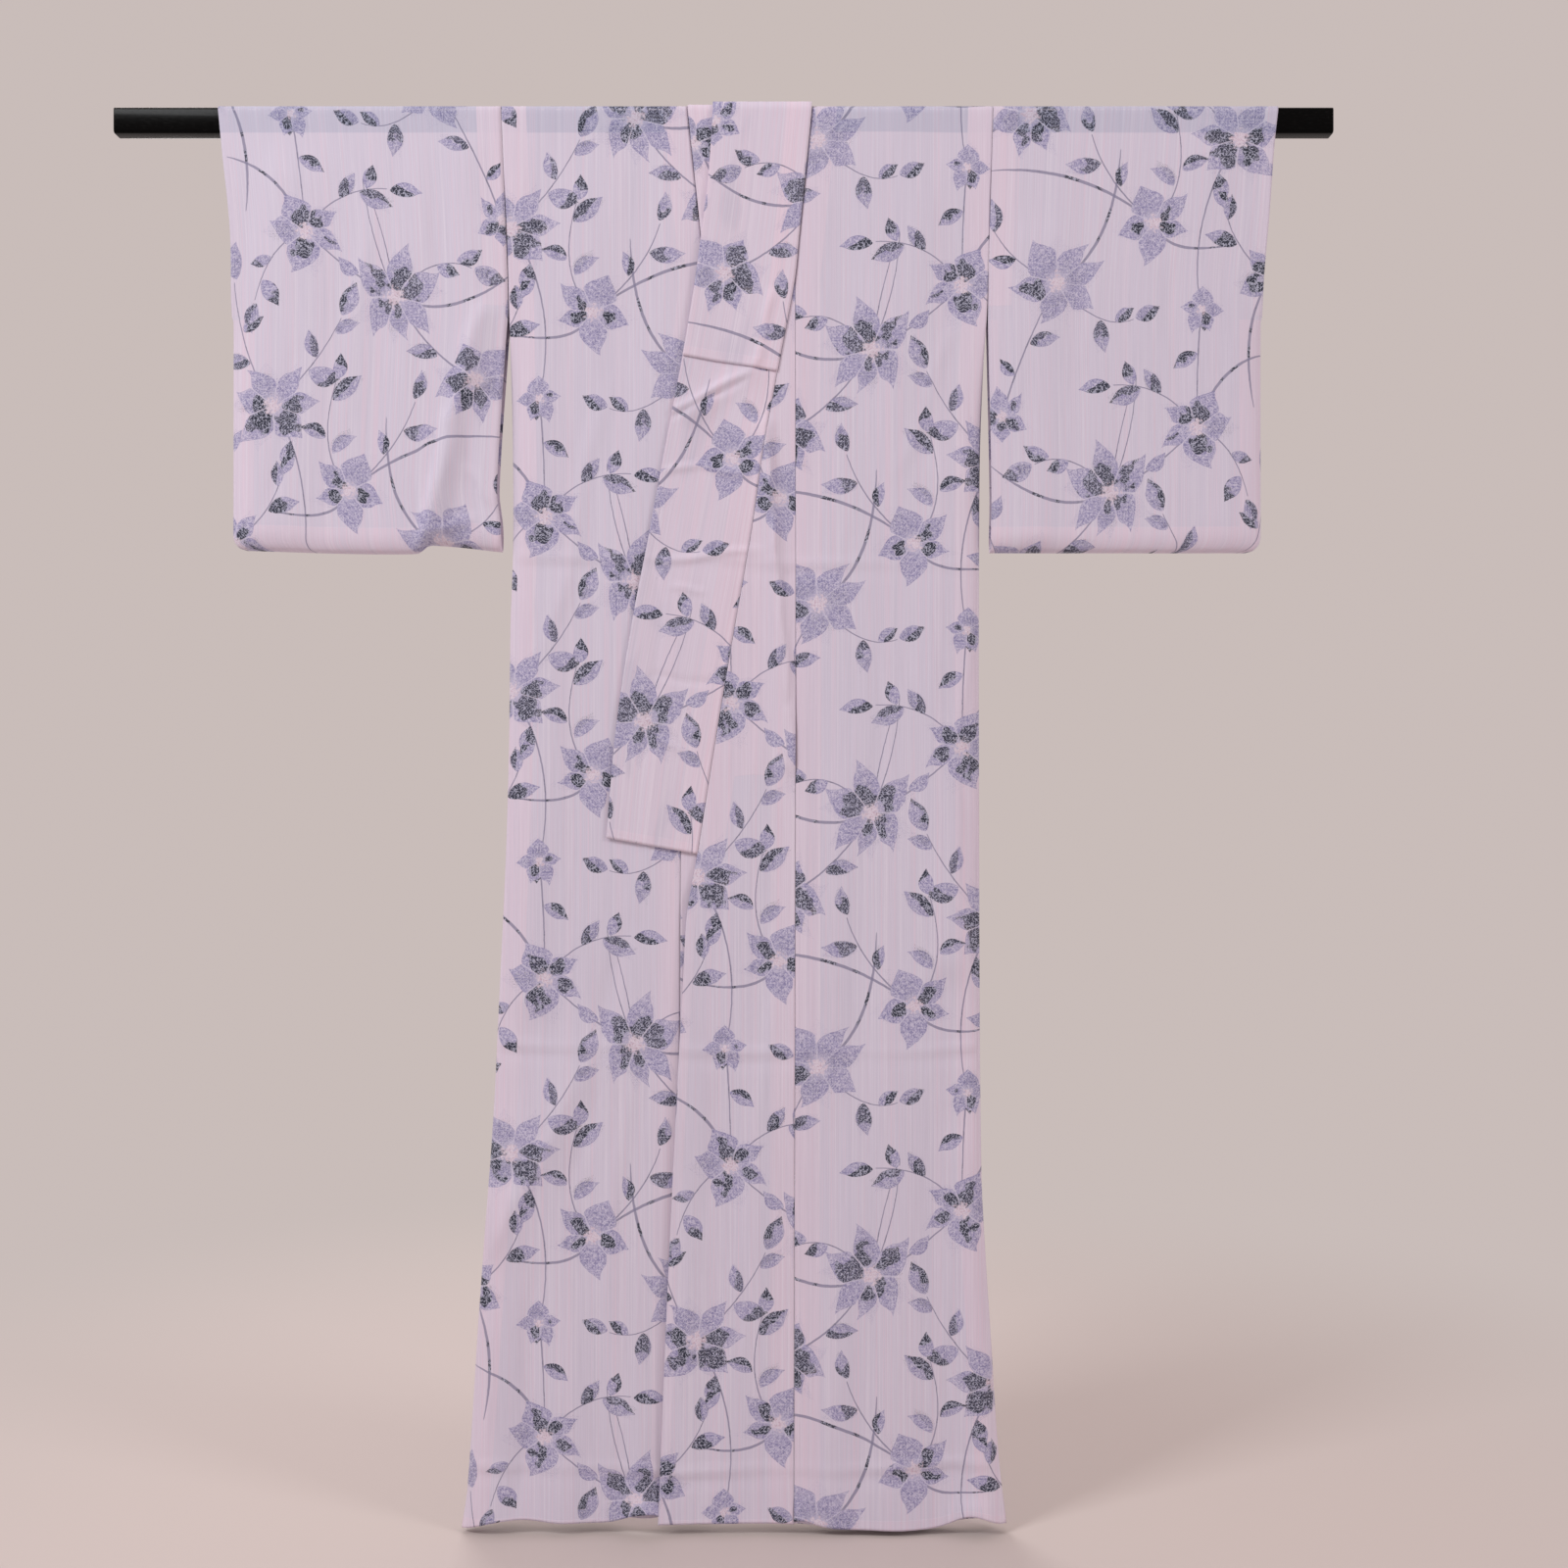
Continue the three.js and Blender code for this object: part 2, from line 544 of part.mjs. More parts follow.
const leftPlace = (x) => x;
const COLLAR_LAYERS = {
  left: { front: 2, over: [2, 2, 1.5, 1, 0.5], back: [0.5, 0], crossing: 1 },
  right: { front: 0, over: [0, 0, 0, 0, 0], back: [0, 0], crossing: -1 },
};
const raised = ({ front, over, back, crossing }) => ({
  front: front + 1, over: over.map((layer) => layer + 1), back: back.map((layer) => layer + 1), crossing,
});
const halves = [
  { name: 'left', side: 1, place: leftPlace, layers: COLLAR_LAYERS.left },
  { name: 'right', side: -1, place: toRight, layers: COLLAR_LAYERS.right },
];
for (const { name, side, place, layers } of halves) {
  const collar = collarHalf(side, place, layers, COLLAR_END);
  const cover = collarHalf(side, place, raised(layers), OVER_COLLAR_END);
  add(`collar_${name}`, collar.band, fabric());
  add(`neck_${name}`, collar.neck, fabric());
  add(`over_collar_${name}`, cover.band, fabric());
  add(`over_neck_${name}`, cover.neck, fabric());
}
add('rod', rod(), lacquer());

export default kimono;
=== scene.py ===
import math
import bmesh
import bpy
import numpy as np
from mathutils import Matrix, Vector


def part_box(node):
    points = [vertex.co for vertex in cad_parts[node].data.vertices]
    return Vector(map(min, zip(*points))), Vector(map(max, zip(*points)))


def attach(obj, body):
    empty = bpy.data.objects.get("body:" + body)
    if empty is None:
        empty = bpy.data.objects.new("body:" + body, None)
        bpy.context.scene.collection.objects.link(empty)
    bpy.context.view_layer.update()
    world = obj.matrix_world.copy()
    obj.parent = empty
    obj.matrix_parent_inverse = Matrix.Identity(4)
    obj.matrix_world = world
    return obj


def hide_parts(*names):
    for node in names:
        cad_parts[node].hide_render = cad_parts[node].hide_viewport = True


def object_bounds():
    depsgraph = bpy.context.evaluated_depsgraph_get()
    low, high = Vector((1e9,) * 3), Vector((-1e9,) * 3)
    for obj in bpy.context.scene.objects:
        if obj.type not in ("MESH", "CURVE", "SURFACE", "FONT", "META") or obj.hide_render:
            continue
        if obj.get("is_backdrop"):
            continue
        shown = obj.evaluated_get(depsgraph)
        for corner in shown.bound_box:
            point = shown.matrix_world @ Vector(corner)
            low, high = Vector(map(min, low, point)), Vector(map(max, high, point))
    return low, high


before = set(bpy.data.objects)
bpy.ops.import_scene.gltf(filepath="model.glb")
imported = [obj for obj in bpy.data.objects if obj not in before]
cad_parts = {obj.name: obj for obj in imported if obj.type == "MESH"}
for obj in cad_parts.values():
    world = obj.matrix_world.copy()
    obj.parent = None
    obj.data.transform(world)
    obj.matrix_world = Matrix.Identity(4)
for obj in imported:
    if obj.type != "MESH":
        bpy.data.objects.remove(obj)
cad_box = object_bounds()

# Camera
# It stands level in front of the garment at half its height, two metres away, and takes in all of it.
VIEW_DISTANCE = 2.0
VIEW_WIDTH = 1.762
VIEW_CENTRE = Vector((0.042, -0.012, -0.747))
lens = bpy.data.cameras.new("view")
lens.sensor_width = 36
lens.lens = lens.sensor_width * VIEW_DISTANCE / VIEW_WIDTH
camera = bpy.data.objects.new("view", lens)
camera.location = VIEW_CENTRE - Vector((0, VIEW_DISTANCE, 0))
camera.rotation_euler = (math.radians(90), 0, 0)
bpy.context.collection.objects.link(camera)
bpy.context.scene.camera = camera
bpy.context.scene.view_settings.view_transform = "Standard"

# Floor and light
# The pale floor goes over into a pale surround, so that no horizon shows. Soft light comes from the upper
# right, a nearer lamp at the upper left brings out the creases, and a third one lights the back.
FLOOR_LEVEL = -1.591
FLOOR_HALF = 14
FLOOR_PALE = (0.584, 0.507, 0.487, 1)
FLOOR_FADES = (0.5, 1.8)
SURROUND = (0.584, 0.507, 0.487, 1)
LIGHTS = [
    # name, place, what it faces, size, power, colour
    ("right", (6.9, -4.0, 3.4), (0.0, 0.0, -0.7), 2.1, 160, (1.0, 0.985, 0.99)),
    ("left", (-2.9, -2.3, 2.0), (0.0, 0.0, -0.6), 1.2, 92, (0.97, 0.985, 1.0)),
    ("behind", (-0.9, 2.6, 0.6), (0.0, 0.0, -0.8), 1.6, 34, (1.0, 0.99, 0.98)),
]


class Shade:
    """A socket in a material's node tree, with the arithmetic that the finishes are written in."""

    def __init__(self, tree, socket=None):
        self.tree = tree
        self.socket = socket

    def node(self, kind, settings=None, inputs=None, output=0):
        """A new node: its settings first, then values or links for its inputs; gives one of its outputs."""
        made = self.tree.nodes.new(kind)
        for key, value in (settings or {}).items():
            setattr(made, key, value)
        for key, value in (inputs or {}).items():
            if isinstance(value, Shade):
                self.tree.links.new(value.socket, made.inputs[key])
            else:
                made.inputs[key].default_value = value
        return Shade(self.tree, made.outputs[output])

    def __getitem__(self, output):
        return Shade(self.tree, self.socket.node.outputs[output])

    def into(self, node, name):
        self.tree.links.new(self.socket, node.inputs[name])

    def math(self, operation, *values):
        return self.node("ShaderNodeMath", {"operation": operation}, dict(enumerate((self, *values))))

    def __add__(self, other):
        return self.math("ADD", other)

    __radd__ = __add__

    def __sub__(self, other):
        return self.math("SUBTRACT", other)

    def __rsub__(self, other):
        return self.node("ShaderNodeMath", {"operation": "SUBTRACT"}, {0: other, 1: self})

    def __mul__(self, other):
        return self.math("MULTIPLY", other)

    __rmul__ = __mul__

    def __truediv__(self, other):
        return self.math("DIVIDE", other)

    def __pow__(self, other):
        return self.math("POWER", other)

    def __abs__(self):
        return self.math("ABSOLUTE")

    def rises(self, low, high):
        """0 below low, 1 above high and a smooth step between."""
        limits = {"Value": self, "From Min": low, "From Max": high}
        return self.node("ShaderNodeMapRange", {"interpolation_type": "SMOOTHSTEP"}, limits)

    def falls(self, low, high):
        return 1 - self.rises(low, high)

    def blend(self, under, over):
        """Two colours mixed by this value."""
        return self.node("ShaderNodeMix", {"data_type": "RGBA"}, {0: self, 6: under, 7: over}, output=2)

    def vector(self, x, y, z=0.0):
        return self.node("ShaderNodeCombineXYZ", inputs={"X": x, "Y": y, "Z": z})

    def scaled(self, x, y, z=1.0):
        """This vector stretched along its axes."""
        return self.node("ShaderNodeVectorMath", {"operation": "MULTIPLY"}, {0: self, 1: (x, y, z)})

    def length(self):
        return self.node("ShaderNodeVectorMath", {"operation": "LENGTH"}, {0: self}, "Value")

    def noise(self, scale, detail=2.0):
        inputs = {"Vector": self, "Scale": scale, "Detail": detail}
        return self.node("ShaderNodeTexNoise", {"noise_dimensions": "3D"}, inputs)

    def dice(self):
        """Three random numbers for each value of this vector."""
        dice = self.node("ShaderNodeTexWhiteNoise", {"noise_dimensions": "3D"}, {"Vector": self}, "Color")
        return dice.parts()

    def parts(self):
        split = self.node("ShaderNodeSeparateXYZ", inputs={"Vector": self})
        return split["X"], split["Y"], split["Z"]


def show(name, mesh):
    """A mesh as an object at the origin."""
    thing = bpy.data.objects.new(name, mesh)
    bpy.context.collection.objects.link(thing)
    return thing


def plain(name, colour, roughness):
    """A material of one Principled shader, the start of every finish."""
    material = bpy.data.materials.new(name)
    material.use_nodes = True
    shader = material.node_tree.nodes["Principled BSDF"]
    shader.inputs["Base Color"].default_value = colour
    shader.inputs["Roughness"].default_value = roughness
    return material, shader


def floor_finish():
    """Matt and pale by the garment. Further out it takes on the surround's own even tone."""
    material, shader = plain("pale_floor", FLOOR_PALE, 0.85)
    base = Shade(material.node_tree)
    away = base.node("ShaderNodeTexCoord", output="Object").scaled(1, 1, 0).length()
    even = base.node("ShaderNodeEmission", inputs={"Color": SURROUND})
    near = Shade(material.node_tree, shader.outputs[0])
    both = base.node("ShaderNodeMixShader", inputs={0: away.rises(*FLOOR_FADES), 1: near, 2: even})
    both.into(material.node_tree.nodes["Material Output"], "Surface")
    return material


sheet = bmesh.new()
bmesh.ops.create_grid(sheet, x_segments=1, y_segments=1, size=FLOOR_HALF)
bmesh.ops.translate(sheet, verts=sheet.verts, vec=(0, 0, FLOOR_LEVEL))
floor_mesh = bpy.data.meshes.new("floor")
sheet.to_mesh(floor_mesh)
sheet.free()
floor_mesh.materials.append(floor_finish())
show("floor", floor_mesh)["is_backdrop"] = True

world = bpy.data.worlds.new("surround")
world.use_nodes = True
world.node_tree.nodes["Background"].inputs["Color"].default_value = SURROUND
bpy.context.scene.world = world

for name, place, facing, size, power, colour in LIGHTS:
    lamp = bpy.data.lights.new(name, "AREA")
    lamp.size = size
    lamp.energy = power
    lamp.color = colour
    light = bpy.data.objects.new(name, lamp)
    light.location = place
    light.rotation_euler = (Vector(facing) - Vector(place)).to_track_quat("-Z", "Y").to_euler()
    bpy.context.collection.objects.link(light)

# Rod
# A straight rail of lacquered wood with eased corners. The garment hangs over it, and its two ends are the
# only places where it shows.
ROD_EASE = 0.0035
END_EASE = 0.0006
BLACK = (0.0016, 0.0015, 0.0016, 1)
DUSTY_BLACK = (0.006, 0.0055, 0.0055, 1)
rod_low, rod_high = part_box("rod")


def lacquer_finish():
    """Black gloss lacquer over wood: nearly black, with a faint long unevenness in the polish."""
    material, shader = plain("black_lacquer", BLACK, 0.2)
    shader.inputs["Specular IOR Level"].default_value = 0.03
    shader.inputs["Coat Weight"].default_value = 0.03
    shader.inputs["Coat Roughness"].default_value = 0.06
    base = Shade(material.node_tree)
    place = base.node("ShaderNodeTexCoord", output="Object")
    dust = place.scaled(1, 4, 4).noise(160, 3)
    (0.16 + dust.rises(0.45, 0.8) * 0.12).into(shader, "Roughness")
    dust.rises(0.5, 0.9).blend(BLACK, DUSTY_BLACK).into(shader, "Base Color")
    swell = place.scaled(0.5, 3, 3).noise(9, 1)
    bump = {"Height": swell, "Strength": 0.25, "Distance": 0.0004}
    base.node("ShaderNodeBump", inputs=bump).into(shader, "Normal")
    return material


rail = bmesh.new()
bmesh.ops.create_cube(rail, size=1)
bmesh.ops.scale(rail, verts=rail.verts, vec=rod_high - rod_low)
bmesh.ops.translate(rail, verts=rail.verts, vec=(rod_low + rod_high) / 2)
long_edges = [edge for edge in rail.edges if abs(edge.verts[0].co.x - edge.verts[1].co.x) > 0.1]
bmesh.ops.bevel(rail, geom=long_edges, offset=ROD_EASE, segments=6, profile=0.5, affect="EDGES",
                material=-1)
end_edges = [edge for edge in rail.edges if len(edge.link_faces) == 2
             and edge.calc_face_angle() > 1.2 and abs(edge.verts[0].co.x - edge.verts[1].co.x) < 1e-6]
bmesh.ops.bevel(rail, geom=end_edges, offset=END_EASE, segments=2, profile=0.5, affect="EDGES",
                material=-1)
rod_mesh = bpy.data.meshes.new("rod_lacquered")
rail.to_mesh(rod_mesh)
rail.free()
rod_mesh.materials.append(lacquer_finish())
rod = show("rod_lacquered", rod_mesh)
for polygon in rod_mesh.polygons:
    polygon.use_smooth = len(polygon.vertices) == 4 and abs(polygon.normal.x) < 0.5
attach(rod, "root")
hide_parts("rod")

# The bolt
# All the pieces are cut from one narrow bolt of summer cloth. Flowers and their leaves are dyed on it in a
# repeat, on vines that run along the length. Places on it are (across, along) from a corner of the repeat.
REPEAT = 0.52
FLOWERS = [
    # across, along, radius, petals, turn in degrees
    (0.100, 0.060, 0.061, 6, 18),
    (0.208, 0.128, 0.053, 5, 47),
    (0.062, 0.250, 0.058, 6, 8),
    (0.160, 0.345, 0.062, 6, 33),
    (0.300, 0.222, 0.060, 6, 2),
    (0.262, 0.418, 0.053, 5, 64),
    (0.348, 0.066, 0.047, 6, 25),
    (0.034, 0.430, 0.037, 5, 40),
    (0.268, 0.030, 0.031, 5, 12),
]
VINES = [
    # row of the flower at its root, its bend, its tip, width, leaves, size of its leaves
    (0, 0.036, 0.080, 0.010, 0.150, 0.0017, 3, 0.033),
    (0, 0.150, 0.004, 0.190, 0.020, 0.0016, 3, 0.031),
    (1, 0.250, 0.170, 0.226, 0.250, 0.0018, 4, 0.036),
    (1, 0.150, 0.170, 0.132, 0.228, 0.0020, 3, 0.035),
    (2, 0.014, 0.272, 0.010, 0.336, 0.0016, 3, 0.031),
    (2, 0.122, 0.280, 0.160, 0.345, 0.0024, 2, 0.032),
    (3, 0.116, 0.398, 0.070, 0.376, 0.0018, 3, 0.033),
    (3, 0.206, 0.364, 0.262, 0.418, 0.0024, 1, 0.034),
    (4, 0.250, 0.262, 0.222, 0.322, 0.0018, 4, 0.034),
    (4, 0.340, 0.280, 0.346, 0.362, 0.0018, 3, 0.036),
    (5, 0.306, 0.404, 0.322, 0.340, 0.0018, 3, 0.032),
    (5, 0.226, 0.470, 0.164, 0.466, 0.0018, 4, 0.035),
    (6, 0.300, 0.096, 0.286, 0.150, 0.0018, 3, 0.033),
    (6, 0.366, 0.124, 0.350, 0.170, 0.0018, 2, 0.031),
    (7, 0.052, 0.492, 0.100, 0.580, 0.0022, 3, 0.031),
    (8, 0.262, -0.020, 0.262, -0.102, 0.0020, 2, 0.030),
    (4, 0.244, 0.140, 0.268, 0.030, 0.0022, 2, 0.029),
    (1, 0.120, 0.196, 0.016, 0.186, 0.0036, 0, 0),
    (0, 0.164, 0.096, 0.166, 0.212, 0.0034, 0, 0),
    (2, 0.006, 0.236, -0.030, 0.176, 0.0034, 0, 0),
    (3, 0.094, 0.312, 0.018, 0.376, 0.0034, 0, 0),
    (5, 0.286, 0.490, 0.346, 0.502, 0.0034, 0, 0),
    (6, 0.310, 0.010, 0.330, -0.080, 0.0034, 0, 0),
    (1, 0.226, 0.086, 0.306, 0.104, 0.0030, 0, 0),
    (3, 0.170, 0.416, 0.192, 0.478, 0.0015, 0, 0),
    (3, 0.190, 0.412, 0.192, 0.478, 0.0015, 0, 0),
]
VINE_STEPS = 16
LEAF_SPREAD = math.radians(46)
CLEAR_OF_FLOWER = 0.055


def along_vine(vine, t):
    """Points of a vine's curve, a quadratic one from its flower past its bend to its tip."""
    root, bend, tip = np.array(FLOWERS[vine[0]][:2]), np.array(vine[1:3]), np.array(vine[3:5])
    t = np.asarray(t)[..., None]
    return root * (1 - t) ** 2 + bend * 2 * t * (1 - t) + tip * t * t


def leaves_of(vine, number):
    """Leaves in turn on either side of a vine, clear of the flower at its root, and one at its tip."""
    count, size = vine[6:]
    length = np.linalg.norm(np.diff(along_vine(vine, np.linspace(0, 1, 9)), axis=0), axis=1).sum()
    first = min(CLEAR_OF_FLOWER / length, 0.7)
    for i in range(count):
        nudge = 0.25 * math.sin(2.9 * i + number) * (0 < i < count - 1)
        t = first + (1 - first) * (i + nudge) / max(count - 1, 1)
        place = along_vine(vine, t)
        ahead = along_vine(vine, t + 0.02) - along_vine(vine, t - 0.02)
        side = (-1) ** (i + number) * (0 if i == count - 1 else 1)
        angle = math.atan2(ahead[1], ahead[0]) + side * (LEAF_SPREAD + 0.34 * math.sin(5.1 * i + number))
        long = size * (1 + 0.2 * math.sin(2.3 * i + 1.7 * number))
        seed = (0.37 * i + 0.219 * number) % 1
        middle = place + np.array((math.cos(angle), math.sin(angle))) * long * 0.56
        yield (*middle, angle, long, seed)


FLOWER_TABLE = np.array(FLOWERS)
LEAF_TABLE = np.array([leaf for number, vine in enumerate(VINES) for leaf in leaves_of(vine, number)])
VINE_POINTS = np.array([along_vine(vine, np.linspace(0, 1, VINE_STEPS + 1)) for vine in VINES])
VINE_WIDTHS = np.array([vine[5] for vine in VINES])


def to_nearest_copy(gap):
    """A distance along the bolt, to whichever copy of a motif is nearest."""
    return gap - REPEAT * np.round(gap / REPEAT)


def nearest(face, motif, reach):
    """The motifs in order of distance from each face, and how far along the bolt it is from each one."""
    across = face[:, None, 0] - motif[None, :, 0]
    along = to_nearest_copy(face[:, None, 1] - motif[None, :, 1])
    far = np.hypot(across, along) / reach
    return np.argsort(far, axis=1), along


def flowers_at(face, corner):
    """Each corner in its face's nearest flower: right and up in radii from its middle, and its petals."""
    order, along = nearest(face, FLOWER_TABLE, FLOWER_TABLE[:, 2])
    best = order[:, 0]
    across, _, radius, petals, turn = FLOWER_TABLE[best].T
    x = corner[:, :, 0] - across[:, None]
    y = along[np.arange(len(best)), best][:, None] + corner[:, :, 1] - face[:, None, 1]
    turn = np.radians(turn)[:, None]
    p = (x * np.cos(turn) + y * np.sin(turn)) / radius[:, None]
    q = (y * np.cos(turn) - x * np.sin(turn)) / radius[:, None]
    return np.stack([p, q, np.broadcast_to((petals + best / 20)[:, None], p.shape)], axis=2)


def leaves_at(face, corner, place):
    """Each corner in its face's nearest leaf or next one: along and across it in lengths, and its seed."""
    order, along = nearest(face, LEAF_TABLE, LEAF_TABLE[:, 3])
    best = order[:, place]
    across, _, angle, long, seed = LEAF_TABLE[best].T
    x = corner[:, :, 0] - across[:, None]
    y = along[np.arange(len(best)), best][:, None] + corner[:, :, 1] - face[:, None, 1]
    cos, sin = np.cos(angle)[:, None], np.sin(angle)[:, None]
    t = (x * cos + y * sin) / long[:, None] + 0.5
    s = (y * cos - x * sin) / long[:, None]
    return np.stack([t, s, np.broadcast_to(seed[:, None], t.shape)], axis=2)


def vines_at(face, corner, place):
    """Each corner by its face's nearest vine or next one: from 0 to 1 along it, metres aside, its width."""
    middles = VINE_POINTS.reshape(-1, 2)
    across = face[:, None, 0] - middles[None, :, 0]
    along = to_nearest_copy(face[:, None, 1] - middles[None, :, 1])
    far = np.hypot(across, along).reshape(len(face), len(VINES), -1)
    closest = far.min(axis=2)
    best = np.argsort(closest, axis=1)[:, place]
    rows = np.arange(len(face))
    point = far[rows, best].argmin(axis=1)
    here = VINE_POINTS[best, point]
    copy = along.reshape(len(face), len(VINES), -1)[rows, best, point]
    x = corner[:, :, 0]
    y = (here[:, 1] + copy)[:, None] + corner[:, :, 1] - face[:, None, 1]
    spot = np.stack([x, y], axis=2)[:, :, None, :]
    start = VINE_POINTS[best][:, None, :-1, :]
    step = VINE_POINTS[best][:, None, 1:, :] - start
    gap = spot - start
    length = (step ** 2).sum(axis=3)
    t = (gap * step).sum(axis=3) / length
    inside = np.clip(t, 0, 1)
    distance = np.linalg.norm(gap - inside[..., None] * step, axis=3)
    choice = distance.argmin(axis=2)[:, :, None]
    pick = lambda values: np.take_along_axis(values, choice, axis=2)[:, :, 0]
    aside = pick((step[..., 0] * gap[..., 1] - step[..., 1] * gap[..., 0]) / np.sqrt(length))
    inner = (choice[:, :, 0] > 0) & (choice[:, :, 0] < VINE_STEPS - 1)
    on_curve = np.sign(aside) * pick(distance)
    aside = np.where(inner, on_curve, aside)
    t = (choice[:, :, 0] + np.where(inner, pick(inside), pick(t))) / VINE_STEPS
    width = np.broadcast_to(VINE_WIDTHS[best][:, None], t.shape)
    return np.stack([t, aside, width], axis=2)


def dye(mesh, bolt, made):
    """Writes on each corner where it lies on the bolt, how the cloth is made up there, and its motifs."""
    count = len(mesh.polygons)
    vertex = np.empty(count * 4, dtype=int)
    mesh.loops.foreach_get("vertex_index", vertex)
    corner = bolt[vertex].reshape(count, 4, 2)
    face = corner.mean(axis=1)
    layers = {
        "cloth": np.concatenate([corner, 0 * corner[:, :, :1]], axis=2),
        "made": made[vertex].reshape(count, 4, 3),
        "flower": flowers_at(face, corner),
        "leaf": leaves_at(face, corner, 0),
        "next_leaf": leaves_at(face, corner, 1),
        "vine": vines_at(face, corner, 0),
        "next_vine": vines_at(face, corner, 1),
    }
    for name, values in layers.items():
        layer = mesh.attributes.new(name, "FLOAT_VECTOR", "CORNER")
        layer.data.foreach_set("vector", np.ascontiguousarray(values, dtype=np.float32).ravel())


# The cloth's finish
# A thin, slightly uneven plain weave with a dry sheen: a pale grey-lavender ground with fine warp streaks,
# pinker where it is double at the seams, and the print in lavender, partly covered with charcoal scribble.
PETAL = (0.275, 0.84, 1.0)  # half width in lengths, how full it swells, how fine its point is
LEAF = (0.25, 0.80, 0.92)
USUAL_PETALS = 5.3
PRINT_EDGE = 0.00025
ARC_WIDTH = 0.0026
THREADS = 1150
SEAM_ALLOWANCE = 0.028
TURNED_EDGE = 0.011
ALLOWANCE_EDGE = 0.0006
TURNED_STEP = 0.0005
# Heights on the cloth over the rod where its painted shade starts, and where the painted highlight of its
# lit corner lies
ROD_SHADE_STARTS = (-0.0162, -0.0140)
LIT_CORNER = (0.0098, 0.0104, 0.0112, 0.0118)


def tone(red, green, blue):
    """A colour given as it is seen, from 0 to 255."""
    seen = (value / 255 for value in (red, green, blue))
    return (*(((v + 0.055) / 1.055) ** 2.4 if v > 0.04045 else v / 12.92 for v in seen), 1)


GROUND = tone(210, 204, 222)
DOUBLE_CLOTH = tone(228, 209, 225)
PALE_WARP = tone(226, 219, 232)
PINK_WARP = tone(226, 203, 219)
GREY_WARP = tone(198, 192, 211)
# Painted shade: the cloth's colour is multiplied by this where single cloth lies over the black rod
ROD_SHADE_TINT = tone(222, 231, 237)
LAVENDER = tone(166, 161, 195)
DEEP_LAVENDER = tone(138, 134, 173)
PALE_LAVENDER = tone(208, 203, 223)
CHARCOAL = tone(36, 42, 56)
PALE_CHARCOAL = tone(180, 182, 203)
FLOWER_HEART = tone(223, 212, 225)
HEART_PINK = tone(202, 177, 194)
VINE_GREY = tone(134, 131, 158)


def outline(t, half_width, swell, point):
    """Half the width of a petal or leaf along its length, drawn out at its tip to a fine point."""
    inside = t.rises(0.0, 0.001) * t.falls(0.999, 1.0)
    inner = t.math("MAXIMUM", 0.0001).math("MINIMUM", 0.9999)
    middle = swell / (swell + point)
    fullest = middle ** swell * (1 - middle) ** point
    drawn = 1 - t.rises(0.6, 1.0) * 0.42
    swelling = inside * (inner ** swell) * ((1 - inner) ** point)
    return swelling * drawn * (half_width / fullest) - (1 - inside) * 0.1


